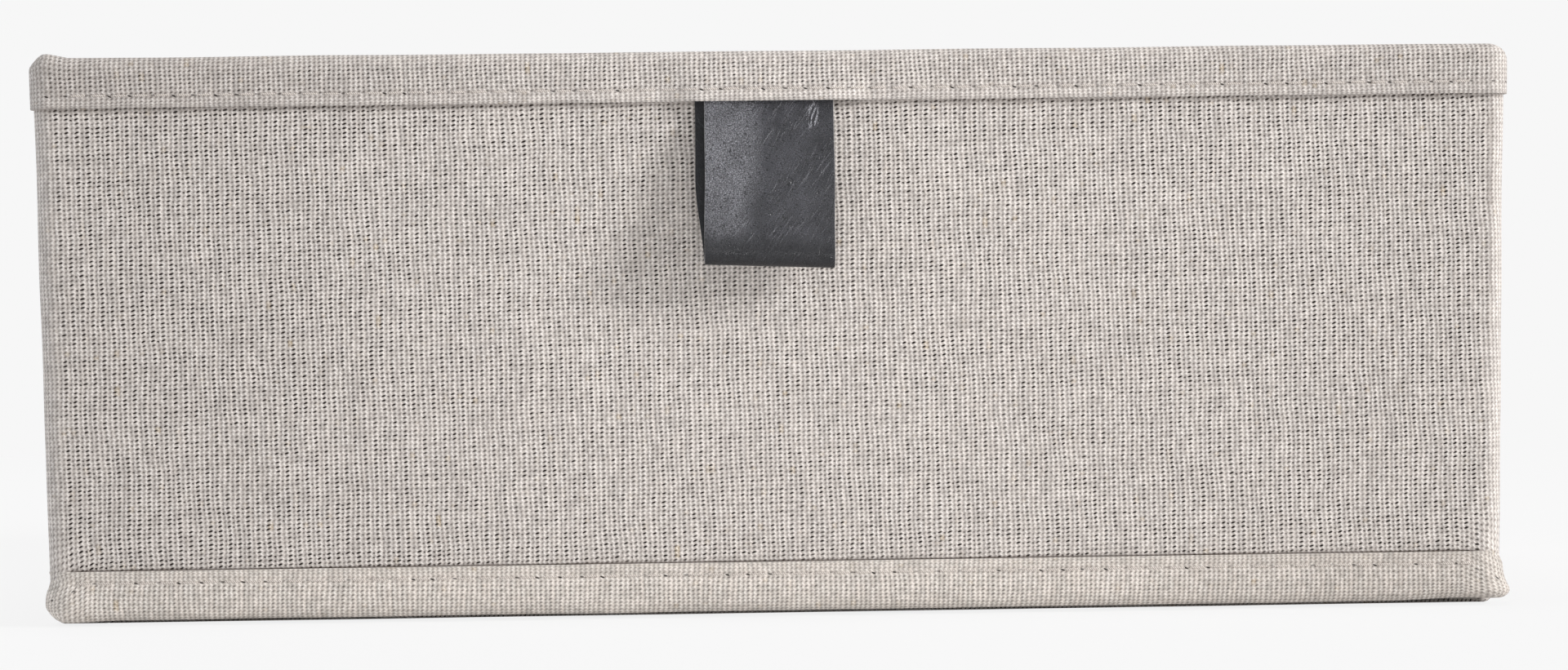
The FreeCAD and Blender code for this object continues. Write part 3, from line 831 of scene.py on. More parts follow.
@dataclass
class Stitching:
    """A straight row of sewn stitches: one long thread seen between each pair of needle holes."""

    pitch: float
    length: float = 3.7
    width: float = 0.5
    height: float = 0.34
    reach: float = 161.0

    def row(self, shape: Mesh, level: float, surface: Callable[[float], float]) -> None:
        """Add a row of stitches at a level, on a cloth whose Y `surface` gives for each X."""
        size = Matrix.Diagonal((self.length / 2, self.height / 2, self.width / 2, 1.0))
        lying = size @ Matrix.Rotation(math.pi / 2, 4, "Y")
        count = int(self.reach // self.pitch)
        for number in range(-count, count + 1):
            centre = self.pitch * number
            drift = 0.12 * ripple(centre, level, 0, wave=7.0, seed=3.0)
            tilt = 0.05 * ripple(centre, level, 0, wave=5.0, seed=8.0)
            lean = (surface(centre + 1) - surface(centre - 1)) / 2
            place = Matrix.Translation((centre, surface(centre), level + drift))
            turn = Matrix.Rotation(math.atan(lean), 4, "Z") @ Matrix.Rotation(tilt, 4, "Y")
            bmesh.ops.create_uvsphere(shape, u_segments=8, v_segments=6, radius=1.0, matrix=place @ turn @ lying)


@dataclass
class OverlayFront:
    """The drawer's stiff front: linen drawn over a board, a hem capping its head and a binding its foot.

    Attributes:
        cloth: Thickness of the panel's cloth.
        fold: Thickness of the folded cloths of the hem and the binding.
        row_inset: From the open edge of a folded cloth to its stitches.
        pitch: Distance between stitches.
        strap_half: Half the width of the hem's bulge over the strap, which ends over `strap_fade`.
        strap_rise: The bulge's height, with `strap_depth` its depth at the hem's lip.
        hem_arc: Radius of the arc onto which the hem's right corner is drawn.
        corner_closing: How far the weave closes at the drawn corners.
        panel_gap: Air between the panel's cloth and its board, and `band_gap` under the folded cloths.
        band_lip: Rounding of the folded cloths' lips.
    """

    outline: FrontOutline = field(default_factory=FrontOutline)
    cloth: float = 0.7
    fold: float = 0.9
    hem_low: float = 118.0
    hem_high: float = 130.0
    binding_low: float = 0.6
    binding_high: float = 12.6
    row_inset: float = 2.8
    pitch: float = 4.8
    strap_half: float = 15.4
    strap_fade: float = 9.0
    strap_rise: float = 8.8
    strap_depth: float = 2.6
    strap_middle: float = -1.5
    hem_arc: float = 5.3
    corner_closing: float = 0.88
    panel_gap: float = 0.02
    band_gap: float = 0.04
    band_lip: float = 0.42

    @property
    def hem_row(self) -> float:
        """Return the height of the hem's stitches."""
        return self.hem_low + self.row_inset

    @property
    def binding_row(self) -> float:
        """Return the height of the binding's stitches."""
        return self.binding_high - self.row_inset

    def dimple(self, point: Vector, level: float) -> float:
        """Return how far the thread pulls the cloth in near a sewn row."""
        near_hole = bell((point.x / self.pitch) % 1.0, 0.5, 0.5)
        return bell(point.z, level, 1.5) * (0.1 + 0.22 * near_hole)

    def hem_shift(self, point: Vector) -> Vector:
        """Return how far the hem's cloth stands from its plain form at a point."""
        shift = Vector()
        if point.y < self.outline.face:
            beside = abs(point.x - self.strap_middle)
            up = min(1.0, max(0.0, (self.hem_low + self.strap_rise - point.z) / self.strap_rise))
            over_strap = up * (1 - ease(beside, self.strap_half, self.strap_half + self.strap_fade))
            lip = bell(point.z, self.hem_low + 0.7, 1.3)
            shift.y += self.dimple(point, self.hem_row) - self.strap_depth * over_strap - 0.26 * lip
            shift.y += 0.12 * ripple(point.x, 0, point.z, wave=14.0, seed=1.0)
        # The head sags a little and wavers, with a small bump near its left end, which leans in.
        head_sag = 0.4 * ease(point.z, 122, 129.5)
        shift.z += 0.14 * ripple(point.x, 0, 0, wave=30.0, seed=2.0) * ease(point.z, 121, 129) - head_sag
        left_bump = ease(point.x, -160.5, -166.5) * (1 - ease(point.x, -166.8, -169.8))
        shift.z += 0.95 * left_bump * ease(point.z, 122, 129)
        shift.x += 0.5 * ease(point.x, -160, -168) * ease(point.z, 127, 130)
        # The right end of the head is drawn onto an arc.
        aside = point.x - self.outline.half(self.hem_high, self.fold) + self.hem_arc
        above = point.z - self.hem_high + self.hem_arc
        far = math.hypot(aside, above)
        if aside > 0 and above > 0 and far > self.hem_arc:
            pull = self.hem_arc / far - 1
            shift += Vector((aside * pull, 0.0, above * pull))
        return shift

    def binding_shift(self, point: Vector) -> Vector:
        """Return how far the binding's cloth stands from its plain form at a point."""
        shift = Vector()
        level, x, z = self.binding_row, abs(point.x), point.z
        drawn = ease(x, 159.5, 164.5) * ease(z, 9.4, 11.8)
        if point.y < self.outline.face:
            # The cloth is drawn in by the thread, hollow below it, and gathered in a fan of folds at the ends.
            fan = math.sin((x * 0.55 + z * 1.1) * 2 * math.pi / 3.4)
            shift.y += self.dimple(point, level) - 0.35 * bell(z, 6.0, 4.5) * (1 - ease(x, 160, 168))
            shift.y -= 0.12 * bell(z, self.binding_high - 0.6, 1.2) * (1 - drawn)
            shift.y += 0.12 * ripple(point.x, 0, z, wave=14.0, seed=5.0)
            shift.y += 0.16 * fan * bell(x, 160.0, 8.0) * bell(z, level - 1.5, 4.0)
        # The upper corners are drawn in until they lie almost flush with the panel's cloth.
        flush = drawn * self.fold * 0.86
        shift.y += flush * (1 if self.outline.faces_out(point.y) else -1) * (1 - ease(x, 166.2, 167.4))
        shift.x -= flush * (1 if point.x > 0 else -1) * ease(x, 163.5, 166.8)
        # The ends pinch in at the row and flare at the foot.
        left, right = ease(point.x, -158, -167), ease(point.x, 158, 167)
        shift.x += left * (0.8 * bell(z, level, 2.8) - 0.3 * bell(z, 4.6, 4.4))
        shift.x += right * (1.75 * (1 - ease(z, 1.8, 8.0)) - 0.3 * bell(z, level + 1.0, 3.5))
        # The foot is raised and wavers, most at its left end.
        raised = 0.6 + 0.12 * ripple(point.x, 0, 0, wave=26.0, seed=6.0) + 0.5 * bell(point.x, 156, 15)
        raised += 1.5 * ease(point.x, -162.5, -168.5)
        shift.z += raised * (1 - ease(z, 1, 6)) - 0.5 * ease(point.x, -150, -163) * (1 - ease(z, 0.6, 4))
        return shift

    def panel_shift(self, point: Vector) -> Vector:
        """Return how far the panel's cloth stands from its plain form at a point."""
        shift = Vector()
        if point.y < self.outline.face + 1:
            slow = 0.1 * ripple(point.x, 0, point.z, wave=45.0, seed=11.0)
            shift.y += slow + 0.05 * ripple(point.x, 0, point.z, wave=12.0, seed=12.0)
        side = 1 if point.x > 0 else -1
        shift.z += 0.6 * (1 - ease(point.z, 1.5, 6)) - 0.4 * ease(point.z, 121, 129)
        shift.x += side * 0.18 * ease(abs(point.x), 160, 166) * ripple(0, side * 9, point.z, wave=22.0, seed=13.0)
        return shift

    def panel_shade(self, point: Vector) -> float:
        """Return the panel's painted shade: most in the nooks by its neighbours and along its drawn side."""
        # Painted shadow under the hem's lip, and a painted dark line in the nook over the binding's lip.
        under_hem = 0.34 * (1 - ease(self.hem_low - point.z, 0.0, 2.2))
        over_binding = 1 - ease(point.z - self.binding_high, 0.1, 0.5)
        over_binding *= 0.85 * (1 - ease(abs(point.x), 160.5, 163.5))
        # Painted shade along a crease near the right side, above its lower third.
        crease = bell(point.x, self.outline.half(point.z) - 3.5, 0.9) * ease(point.z, 40, 75)
        crease *= 0.35 + 0.25 * ripple(0, 0, point.z, wave=9.0, seed=4.0)
        # Weaker painted shade towards the ends, as on the hem.
        return max(0.4 * self.hem_shade(point), under_hem, over_binding, crease)

    def hem_shade(self, point: Vector) -> float:
        """Return the hem's painted shade: how much darker its cloth is painted towards its ends."""
        return 0.16 * (1 - ease(point.x, -150, -50)) + 0.05 * ease(point.x, 50, 150)

    def binding_shade(self, point: Vector) -> float:
        """Return the binding's painted shade: how much darker its cloth is painted towards its right end."""
        return 0.12 * ease(point.x, 40, 150)

    def panel_weave(self, point: Vector) -> float:
        """Return how open the panel's weave is: least about its lower middle, most near the hem."""
        left, right = 0.3 * (1 - ease(point.x, -130, -50)), 0.16 * ease(point.x, 60, 130)
        head, foot = 0.22 * ease(point.z, 85, 112), 0.1 * (1 - ease(point.z, 14, 30))
        return 1.06 + left + right + head + foot

    def hem_weave(self, point: Vector) -> float:
        """Return how open the hem's weave is: less where it is folded, at its lip and at its head."""
        above_lip = ease(point.z, self.hem_row - 0.2, self.hem_row + 1.0)
        return 0.35 + 0.65 * above_lip - 0.5 * ease(point.z, 126.5, 129)

    def binding_weave(self, point: Vector) -> float:
        """Return how open the binding's weave is: less where it is folded, at its lip and at its foot."""
        below_lip = ease(point.z, self.binding_row - 1.2, self.binding_row + 0.2)
        return 1.0 - 0.88 * below_lip - 0.3 * (1 - ease(point.z, 1.5, 4))

    def skin(self, linen: LinenFinish, span: Pair, grow: float, closed: Closed, levels: Sequence[float],
             shift: Callable[[Vector], Vector], weave: Callable[[Vector], float], shade: Callable[[Vector], float]
             ) -> bpy.types.Object:
        """Make one of the front's cloths as a thin skin, named like its linen.

        Args:
            linen: Its finish.
            span: Its foot and its head.
            grow: How far it stands proud of the clothed slab.
            closed: The ends at which it is closed.
            levels: Heights at which it is divided.
            shift: Moves its points from the plain form.
            weave: The weave's openness at a place, which closes at the drawn corners by itself.
            shade: The painted shade at a place.

        Returns:
            The piece.
        """
        def openness(point: Vector) -> float:
            """Return the weave's openness, with the corners closed."""
            half = self.outline.half(point.z)
            corner = ease(abs(point.x), half - 5.2, half - 3.2)
            return weave(point) * (1 - self.corner_closing * corner)

        shape = self.outline.slab(*span, grow, closed)
        slice_mesh(shape, 0, steps(-162, 162, 3.0 if closed is Closed.BOTH else 1.2))
        slice_mesh(shape, 2, levels)
        shape.normal_update()
        lay_cloth(shape, self.outline.cloth_place(*span, grow))
        paint(shape, OPENNESS, openness)
        paint(shape, SHADE, shade)
        for vertex in shape.verts:
            vertex.co += shift(vertex.co)
        return write_mesh(linen.name, shape, linen.build())

    def build(self) -> None:
        """Make the panel's cloth, the hem, the binding and their stitches."""
        self.build_panel()
        self.build_hem()
        self.build_binding()
        self.sew("hem_stitches", self.hem_row, self.hem_shift)
        self.sew("binding_stitches", self.binding_row, self.binding_shift)

    def build_panel(self) -> None:
        """Make the cloth drawn over the board."""
        near_hem = [self.hem_low + offset for offset in (-2.4, -1.6, -1.0, -0.5, 0.0, 0.6)]
        near_binding = [self.binding_high + offset for offset in (-0.6, -0.1, 0.12, 0.3, 0.6, 1.2)]
        panel = self.skin(LinenFinish("panel_linen"), (self.outline.foot, self.outline.head), 0.0, Closed.BOTH,
                          [*near_binding, *steps(13.8, 115, 3.0), *near_hem], self.panel_shift, self.panel_weave,
                          self.panel_shade)
        thicken(panel, self.cloth - self.panel_gap, lip=0.0)
        attach(panel, Body.DRAWER, Slot.LINEN, "front_cover")

    def build_hem(self) -> None:
        """Make the folded cloth that caps the head."""
        linen = LinenFinish("hem_linen", gap_strength=1.1, evenness=1.0, seed=1.0,
                            rows=(SewnRow(self.hem_row, self.pitch),),
                            cool=from_bytes(204, 197, 192), warm=from_bytes(210, 202, 196))
        hem = self.skin(linen, (self.hem_low, self.hem_high), self.fold, Closed.HEAD,
                        steps(self.hem_low, 123, 0.4) + steps(123, 128, 0.9), self.hem_shift, self.hem_weave,
                        self.hem_shade)
        thicken(hem, self.fold - self.band_gap, lip=self.band_lip)
        attach(hem, Body.DRAWER, Slot.LINEN, "top_hem")

    def build_binding(self) -> None:
        """Make the folded cloth that binds the foot."""
        linen = LinenFinish("binding_linen", gap_strength=0.55, evenness=0.8, seed=2.0, skew=0.8,
                            rows=(SewnRow(self.binding_row, self.pitch),),
                            cool=from_bytes(213, 206, 199), warm=from_bytes(220, 211, 203))
        binding = self.skin(linen, (self.binding_low, self.binding_high), self.fold, Closed.FOOT,
                            steps(7.5, self.binding_high, 0.4) + steps(3, 7.5, 0.9), self.binding_shift,
                            self.binding_weave, self.binding_shade)
        thicken(binding, self.fold - self.band_gap, lip=self.band_lip)
        attach(binding, Body.DRAWER, Slot.LINEN, "bottom_binding")

    def sew(self, name: str, level: float, shift: Callable[[Vector], Vector]) -> None:
        """Sew a row on the face, where it follows the cloth's own shift, and one on the rear at the same height."""
        front, back = self.outline.face - self.fold, self.outline.rear + self.fold
        shape = bmesh.new()
        stitching = Stitching(self.pitch)
        stitching.row(shape, level, lambda x: front + shift(Vector((x, front, level))).y - 0.03)
        stitching.row(shape, level, lambda x: back + 0.02)
        attach(write_mesh(name, shape, ThreadFinish().build()), Body.DRAWER, Slot.LINEN)


# ------------------------------------------------------------------------------------------ pull


@dataclass
class LeatherPull:
    """One strap folded double: both ends sewn in under the hem, the fold hanging free.

    Attributes:
        tuck: Depth of the ends under the hem.
        hang: Height over which the strap turns from the hem's tuck into its lean.
        reach: Length of the straight layers.
        fold: Half the thickness of the folded end.
        middle: How far the strap sits beside the front's middle.
        front_slip: How far the fold lies beside the strap's middle.
        rear_slip: How far the rear layer lies beside the front one.
        belly: How far the front layer swells.
        cup: How far the strap's long edges curl back.
        corner_rise: How much higher the fold's left corner hangs than its right one.
    """

    width: float = 29.5
    leather: float = 1.3
    tuck: float = 6.6
    hang: float = 1.6
    lip: float = 118.0
    panel: float = -132.1
    axis_y: float = -133.7
    axis_z: float = 116.4
    tilt: float = 12.0
    reach: float = 34.66
    fold: float = 3.0
    middle: float = -1.3
    front_slip: float = -0.35
    rear_slip: float = -2.1
    belly: float = 0.9
    cup: float = 0.6
    corner_rise: float = 1.1

    @property
    def bend_radius(self) -> float:
        """Return the radius of the fold's middle line."""
        return self.fold - self.leather / 2

    @property
    def length(self) -> float:
        """Return the strap's length from end to end."""
        return 2 * (self.tuck + self.hang + self.reach) + math.pi * self.bend_radius

    def path(self, share: float) -> Vector:
        """Return the strap's middle line, from 0 at the front layer's sewn end to 1 at the rear layer's."""
        lean = math.radians(self.tilt)
        down = Vector((0.0, -math.sin(lean), -math.cos(lean)))
        out = Vector((0.0, -math.cos(lean), math.sin(lean)))
        axis = Vector((0.0, self.axis_y, self.axis_z))
        half, root = self.leather / 2, self.tuck + self.hang
        rear = share > 0.5
        sense = -1 if rear else 1
        along = (1 - share if rear else share) * self.length
        if along < root:
            up = root - along
            wedge = max(0.0, (up - self.hang) / self.tuck)
            face = self.panel - self.leather * (1 - 0.75 * wedge) * (0.5 if rear else 1.5)
            start = axis + out * half * sense
            return Vector((0.0, start.y + (face - start.y) * ease(up, 0.0, self.hang), start.z + up))
        if along < root + self.reach:
            part = (along - root) / self.reach
            swell = self.belly * math.sin(math.pi * part) * (0.35 if rear else 1)
            offset = half + (self.bend_radius - half) * part + swell
            return axis + down * (self.reach * part) + out * offset * sense
        angle = (along - root - self.reach) / self.bend_radius
        radius = self.bend_radius
        return axis + down * (self.reach + radius * math.sin(angle)) + out * (radius * math.cos(angle) * sense)

    def formed(self, across: float, share: float) -> Vector:
        """Return a point of the strap, with its slip, its curl and its unevenness."""
        place = self.path(share)
        curl = self.cup * (2 * across) ** 2 * ease(share, 0.12, 0.4) * (1 - ease(share, 0.6, 0.9))
        free = ease(share, 0.1, 0.2) * (1 - ease(share, 0.8, 0.9))
        slip = self.front_slip * bell(share, 0.5, 0.3) + self.rear_slip * ease(share, 0.49, 0.74)
        place.x = across * self.width + self.middle + slip + 0.12 * ripple(0, share * 100, 0, wave=16.0, seed=21.0)
        waver = 0.12 * ripple(across * 30, share * 90, 0, wave=13.0, seed=22.0) * free
        place.y += curl * (1 if share < 0.5 else 0.4) + waver
        place.z += self.corner_rise * (0.5 - across) * bell(share, 0.5, 0.3)
        return place

    def build(self) -> None:
        """Make the strap."""
        shape = bmesh.new()
        bmesh.ops.create_grid(shape, x_segments=26, y_segments=150, size=0.5)
        length = self.length
        lay_cloth(shape, lambda point, face: (point.x * self.width, -point.y * length))
        for vertex in shape.verts:
            vertex.co = self.formed(vertex.co.x, 0.5 - vertex.co.y)
        shape.normal_update()
        fold_height = self.axis_z - self.reach - 1.5
        if next(face for face in shape.faces if face.calc_center_median().z < fold_height).normal.z > 0:
            bmesh.ops.reverse_faces(shape, faces=shape.faces)
        strap = write_mesh("leather_strap", shape, LeatherFinish().build(), CutLeatherFinish().build(), sharp=180)
        thicken(strap, self.leather, lip=0.28, centred=True)
        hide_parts("pull_root", "pull_loop")
        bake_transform(strap)


# ------------------------------------------------------------------------------------------ covered boxes


@dataclass
class CoveredBox:
    """Cloth glued over a box of boards with one open side, and turned in round the opening.

    Attributes:
        opening: The axis across the open side.
        opening_sign: 1 if the open side faces along that axis, -1 if against it.
        board: Thickness of the boards.
        cloth: Thickness of the cloth.
        turn_in: Width of the band that is turned in.
        radius: Rounding of the edges along the opening's axis.
        gap: Room left between the cloth and the boards, which the unevenness partly takes up.
        waver: How unevenly the cloth lies.
    """

    low: Triple
    high: Triple
    opening: int
    opening_sign: int
    board: float
    cloth: float
    turn_in: float
    radius: float
    gap: float = 0.12
    waver: float = 0.05

    @property
    def wall(self) -> float:
        """Return the thickness of a clothed wall."""
        return self.board + 2 * self.cloth

    @property
    def ends(self) -> Pair:
        """Return where the opening and the end opposite it stand along the opening's axis."""
        low, high = self.low[self.opening], self.high[self.opening]
        return (high, low) if self.opening_sign > 0 else (low, high)

    def sides(self) -> tuple[int, int]:
        """Return the two axes across the opening's axis."""
        first, second = (axis for axis in range(3) if axis != self.opening)
        return first, second

    def centre(self, axis: int) -> float:
        """Return the box's middle along an axis."""
        return (self.low[axis] + self.high[axis]) / 2

    def half(self, axis: int) -> float:
        """Return half the box's size along an axis."""
        return (self.high[axis] - self.low[axis]) / 2

    def is_long(self, first: Vector, second: Vector) -> bool:
        """Tell whether an edge runs along the opening's axis."""
        aside = max(abs(first[axis] - second[axis]) for axis in self.sides())
        return abs(first[self.opening] - second[self.opening]) > 1 and aside < NEAR

    def shell(self) -> Mesh:
        """Make the outer skin with its turned-in band, open at the band's inner rim."""
        axis, sign = self.opening, self.opening_sign
        shape = block(self.low, self.high)
        round_edges(shape, self.is_long, self.radius, segments=6)
        shape.normal_update()
        drop_faces(shape, lambda face: face.normal[axis] * sign > 0.99)
        for inward, depth in ((self.wall, 0.0), (0.0, self.turn_in)):
            rim = [edge for edge in shape.edges if edge.is_boundary]
            made = bmesh.ops.extrude_edge_only(shape, edges=rim)["geom"]
            for vertex in (item for item in made if isinstance(item, bmesh.types.BMVert)):
                for other in self.sides():
                    vertex.co[other] += (self.centre(other) - vertex.co[other]) * inward / self.half(other)
                vertex.co[axis] -= sign * depth
        mouth, _ = self.ends
        brink = [edge for edge in shape.edges if all(abs(vertex.co[axis] - mouth) < 1e-4 for vertex in edge.verts)]
        bmesh.ops.bevel(shape, geom=brink, offset=0.5, offset_type="OFFSET", segments=3, profile=0.5,
                        affect="EDGES", material=-1)
        for across in range(3):
            slice_mesh(shape, across, [*steps(self.low[across], self.high[across], 12.0), self.centre(across)])
        self.mitre(shape)
        shape.normal_update()
        return shape

    def mitre(self, shape: Mesh) -> None:
        """Cut the end opposite the opening along the diagonals of its four corners."""
        first, second = self.sides()
        for one in (self.low[first], self.high[first]):
            for two in (self.low[second], self.high[second]):
                normal, corner = Vector(), Vector()
                same_side = (one > self.centre(first)) == (two > self.centre(second))
                normal[first], normal[second] = 1.0, -1.0 if same_side else 1.0
                corner[first], corner[second] = one, two
                faces = [face for face in shape.faces if self.is_capped(face.calc_center_median())]
                parts = {part for face in faces for part in (face, *face.edges, *face.verts)}
                bmesh.ops.bisect_plane(shape, geom=list(parts), dist=1e-5, plane_co=corner, plane_no=normal)

    def is_capped(self, middle: Vector) -> bool:
        """Tell whether a face's middle lies on the end opposite the opening."""
        return abs(middle[self.opening] - self.ends[1]) < 0.1

    def inset(self, point: Vector) -> float:
        """Return how far a point lies inside the outline across the opening's axis."""
        return min(self.half(axis) - abs(point[axis] - self.centre(axis)) for axis in self.sides())

    def around(self, point: Vector, middle: Vector) -> float:
        """Return the way round the outline to a point, counted from the middle of the low side of the first axis.

        `middle` is the middle of the point's face. The way is negative on the low side of the second axis.
        """
        first, second = self.sides()
        beside, above = (self.half(axis) - abs(middle[axis] - self.centre(axis)) for axis in (first, second))
        x, y = (abs(point[axis] - self.centre(axis)) for axis in (first, second))
        flat_x, flat_y = self.half(first) - self.radius, self.half(second) - self.radius
        quarter = math.pi * self.radius / 2
        if not self.is_capped(middle) and x > flat_x and y > flat_y:
            way = flat_y + self.radius * math.atan2(y - flat_y, x - flat_x)
        elif beside < above:
            way = y
        else:
            way = flat_y + quarter + flat_x - x
        if point[first] >= self.centre(first):
            way = 2 * (flat_y + quarter + flat_x) - way
        return way if middle[second] > self.centre(second) else -way

    def place(self, point: Vector, face: bmesh.types.BMFace) -> Pair:
        """Return a point's place on the cloth, which goes round the box and over its edges.

        Args:
            point: The point.
            face: The face that it belongs to.

        Returns:
            The place across and along the cloth in millimetres.
        """
        mouth, far = self.ends
        depth = abs(point[self.opening] - mouth)
        middle = face.calc_center_median()
        capped = self.is_capped(middle)
        if capped and self.inset(middle) > self.turn_in:
            first, second = self.sides()
            return point[first], point[second]
        if capped:
            reach = abs(far - mouth) + self.inset(point)
        elif self.inset(middle) > self.wall - 0.6:
            reach = -self.wall - depth
        elif abs(face.normal[self.opening]) > 0.3:
            reach = depth - self.inset(point)
        else:
            reach = depth
        way = self.around(point, middle)
        return (way, -reach) if self.opening == 2 else (reach, way)

    def sheet(self, finish: LinenFinish, cuts: Sequence[tuple[int, float]], keep: Callable[[Vector], bool]
              ) -> bpy.types.Object:
        """Make the skin, or the part of it that one sheet of cloth covers, named like its linen.

        Args:
            finish: Its linen.
            cuts: Planes along which it is divided, as axis and place.
            keep: Tells from a face's middle whether it belongs to this sheet.

        Returns:
            The piece.
        """
        shape = self.shell()
        for axis, height in cuts:
            slice_mesh(shape, axis, [height])
        shape.normal_update()
        drop_faces(shape, lambda face: not keep(face.calc_center_median()))
        lay_cloth(shape, self.place)
        paint(shape, OPENNESS, lambda point: 1.0)
        paint(shape, SHADE, lambda point: 0.0)
        for vertex in shape.verts:
            vertex.co -= vertex.normal * self.waver * (1 + ripple(*vertex.co, wave=40.0, seed=finish.seed))
        piece = write_mesh(finish.name, shape, finish.build())
        thicken(piece, self.cloth - self.gap, lip=0.15)
        return piece


@dataclass
class Sleeve:
    """The outer case: five boards under three sheets of linen, lined with paper.

    Attributes:
        window: Half the width of the sheets on the back and the underside.
        window_top: Head of the sheet on the back.
        gap: Gap round those two sheets.
    """

    low: Triple = (-166.5, -122.5, 0.0)
    high: Triple = (166.5, 122.5, 128.0)
    window: float = 154.5
    window_top: float = 116.0
    gap: float = 0.25

    def build(self) -> None:
        """Dress the case."""
        box = CoveredBox(self.low, self.high, opening=1, opening_sign=-1, board=2.5, cloth=0.6, turn_in=12.0,
                         radius=2.4)
        rear = self.high[1] - 0.05
        sole = box.wall + 0.05

        def is_back(middle: Vector, half: float, top: float) -> bool:
            """Tell whether a face lies on the back sheet's place."""
            return middle.y > rear and abs(middle.x) < half and middle.z < top

        def is_base(middle: Vector, half: float) -> bool:
            """Tell whether a face lies on the base sheet's place."""
            return middle.y < rear and abs(middle.x) < half and middle.z < sole

        window, window_top = self.window, self.window_top
        wrap = box.sheet(LinenFinish("sleeve_linen", seed=3.0), [(0, -window), (0, window), (2, window_top)],
                         lambda middle: not is_back(middle, window, window_top) and not is_base(middle, window))
        attach(wrap, Body.CASE, Slot.LINEN, "case_wrap_cloth")

        half, top = window - self.gap, window_top - self.gap
        base = box.sheet(LinenFinish("base_linen", seed=5.0, gap_strength=0.9), [(0, -half), (0, half)],
                         lambda middle: is_base(middle, half))
        attach(base, Body.CASE, Slot.LINEN, "case_base_cloth")

        back = box.sheet(LinenFinish("back_linen", seed=6.0, gap_strength=0.9), [(0, -half), (0, half), (2, top)],
                         lambda middle: is_back(middle, half, top))
        attach(back, Body.CASE, Slot.LINEN, "case_back_cloth")

        dress_nodes(BoardFinish("case_board").build(),
                    *(f"case_{side}_board" for side in ("top", "bottom", "left", "right", "back")))
        dress_nodes(PaperFinish("case_paper").build(), "case_lining", "case_back_lining")


@dataclass
class Tray:
    """The drawer's tray: five boards under linen, lined with paper below the turned-in cloth."""

    low: Triple = (-161.8, -122.8, 4.0)
    high: Triple = (161.8, 117.1, 116.0)

    def build(self) -> None:
        """Dress the tray, and the boards of its front."""
        box = CoveredBox(self.low, self.high, opening=2, opening_sign=1, board=2.2, cloth=0.5, turn_in=12.5,
                         radius=1.9)
        wrap = box.sheet(LinenFinish("tray_linen", seed=4.0, gap_strength=0.85), [], lambda middle: True)
        attach(wrap, Body.DRAWER, Slot.LINEN, "tray_wrap_cloth")
        dress_nodes(BoardFinish("tray_board").build(), "front_board", "front_backing",
                    *(f"tray_{side}_board" for side in ("floor", "left", "right", "front", "back")))
        dress_nodes(PaperFinish("tray_paper").build(), "tray_lining")


# ------------------------------------------------------------------------------------------ studio


@dataclass(frozen=True)
class Lamp:
    """A square soft light that looks at the front. Places and sizes are in metres, the power is in watts."""

    name: str
    place: Triple
    size: float
    power: float
    tint: Colour = (1.0, 1.0, 1.0)
    spread: float = 180.0
    target: Triple = (0.0, -0.1, 0.06)

    def build(self) -> None:
        """Hang the light."""
        light = bpy.data.lights.new(self.name, "AREA")
        light.shape = "SQUARE"
        light.size = self.size
        light.energy = self.power
        light.color = self.tint
        light.spread = math.radians(self.spread)
        lamp = put_in_scene(self.name, light)
        lamp.location = self.place
        lamp.rotation_mode = "QUATERNION"
        lamp.rotation_quaternion = (Vector(self.target) - Vector(self.place)).to_track_quat("-Z", "Y")


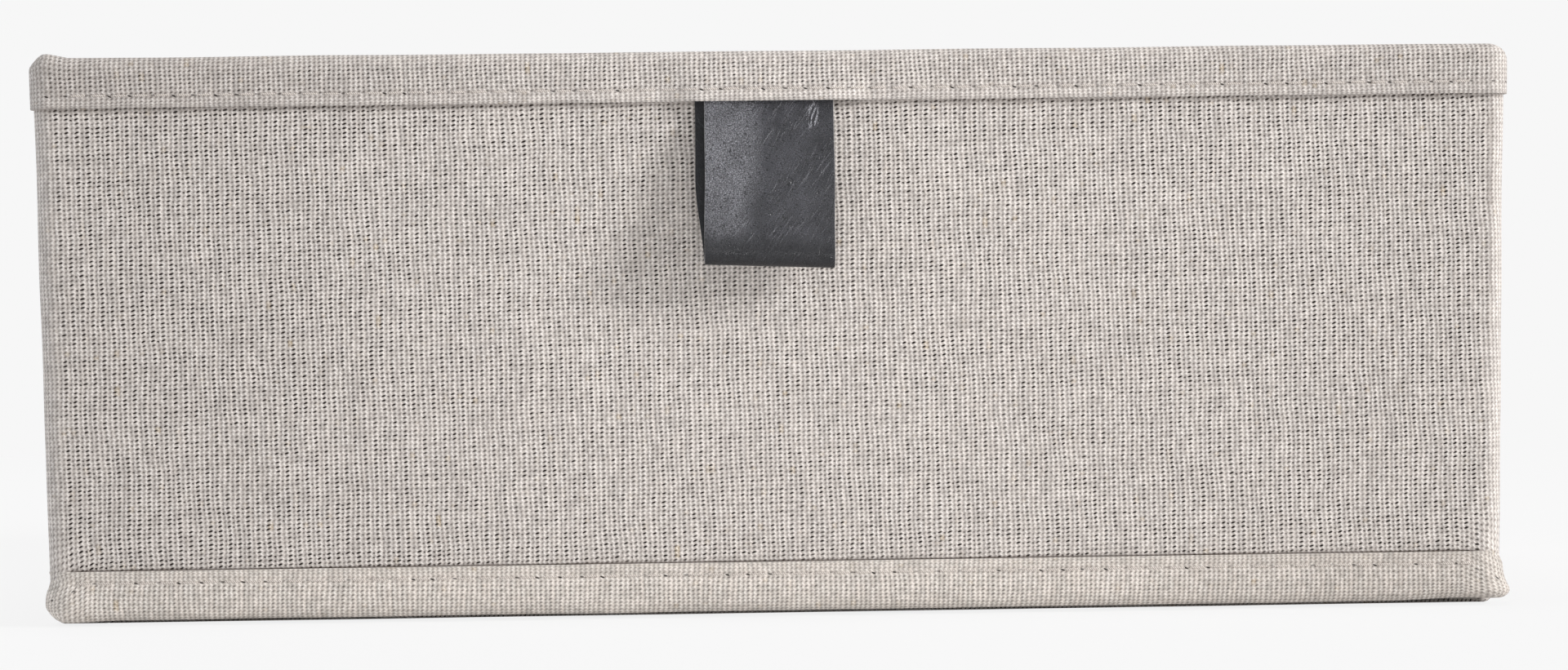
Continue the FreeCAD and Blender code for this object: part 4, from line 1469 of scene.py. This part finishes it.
@dataclass
class Studio:
    """Pale floor and surroundings, soft lights, and the camera in front of the box.

    Attributes:
        yaw: The camera's turn to the right of +Y, in degrees.
        pitch: Its tilt upwards, in degrees.
        roll: Its turn round its own line of sight, in degrees.
        target: The point that it looks at.
        distance: Its distance from that point.
        tone: Brightness of the floor and of the surroundings, as the camera sees them.
        fill: Light that the surroundings give.
        reach: Half the floor's size.
    """

    yaw: float = 1.99
    pitch: float = -0.31
    roll: float = -0.74
    target: Triple = (1.65, -132.0, 64.39)
    distance: float = 900.0
    lens: float = 90.27
    tone: float = 0.93
    fill: float = 0.27
    reach: float = 6000.0
    lamps: tuple[Lamp, ...] = (
        Lamp("right_softbox", (2.8, -1.42, 1.36), 0.8, 98.0),
        Lamp("side_softbox", (1.3, -0.13, 0.4), 0.4, 1.8),
        Lamp("front_softbox", (0.04, -0.55, 0.03), 0.2, 0.12, spread=80.0),
        Lamp("left_softbox", (-1.3, -0.18, 0.35), 0.8, 5.4, (0.86, 0.92, 1.0)),
        Lamp("left_strip", (-0.34, -1.25, 0.62), 0.2, 0.25),
        Lamp("back_softbox", (-0.5, 1.7, 0.6), 1.0, 17.0),
        Lamp("top_softbox", (0.0, -0.12, 1.7), 0.7, 8.5),
    )

    def floor(self) -> None:
        """Lay the floor."""
        shape = bmesh.new()
        bmesh.ops.create_grid(shape, x_segments=2, y_segments=2, size=self.reach)
        piece = write_mesh("studio_floor", shape, StageFinish("studio_floor", tone=self.tone).build())

    def surroundings(self) -> None:
        """Set the light and the tone that come from all round."""
        world = bpy.data.worlds.new("surroundings")
        world.use_nodes = True
        nodes = NodeWriter(world.node_tree)
        levels = {"Value": nodes.rays("Camera", "Transmission"), "To Min": self.fill, "To Max": self.tone}
        strength = nodes.wire("ShaderNodeMapRange", levels)
        glow = nodes.wire("ShaderNodeBackground", {"Color": (1.0, 1.0, 1.0, 1.0), "Strength": strength})
        nodes.add("ShaderNodeOutputWorld", {"Surface": glow})
        bpy.context.scene.world = world

    def camera(self) -> None:
        """Set up the camera."""
        yaw, pitch, roll = (math.radians(angle) for angle in (self.yaw, self.pitch, self.roll))
        ahead = Vector((math.sin(yaw) * math.cos(pitch), math.cos(yaw) * math.cos(pitch), math.sin(pitch)))
        right = Vector((math.cos(yaw), -math.sin(yaw), 0.0))
        up = right.cross(ahead)
        turned_right = right * math.cos(roll) + up * math.sin(roll)
        turned_up = up * math.cos(roll) - right * math.sin(roll)
        data = bpy.data.cameras.new("camera")
        data.sensor_width = 36.0
        data.sensor_fit = "HORIZONTAL"
        data.lens = self.lens
        data.clip_start, data.clip_end = 0.01, 50.0
        camera = put_in_scene("camera", data)
        turn = Matrix((turned_right, turned_up, -ahead)).transposed().to_4x4()
        place = (Vector(self.target) - ahead * self.distance) * MM
        camera.matrix_world = Matrix.Translation(place) @ turn
        bpy.context.scene.camera = camera

    def build(self) -> None:
        """Set up floor, surroundings, lights and camera."""
        self.floor()
        self.surroundings()
        for lamp in self.lamps:
            lamp.build()
        self.camera()
        bpy.context.scene.view_settings.view_transform = "Standard"


def main() -> None:
    """Build the studio and every sub-assembly in order."""
    logging.basicConfig(level=logging.INFO, format="%(name)s %(message)s")
    Studio().build()
    Sleeve().build()
    Tray().build()
    OverlayFront().build()
    LeatherPull().build()


if __name__ == "__main__":
    main()
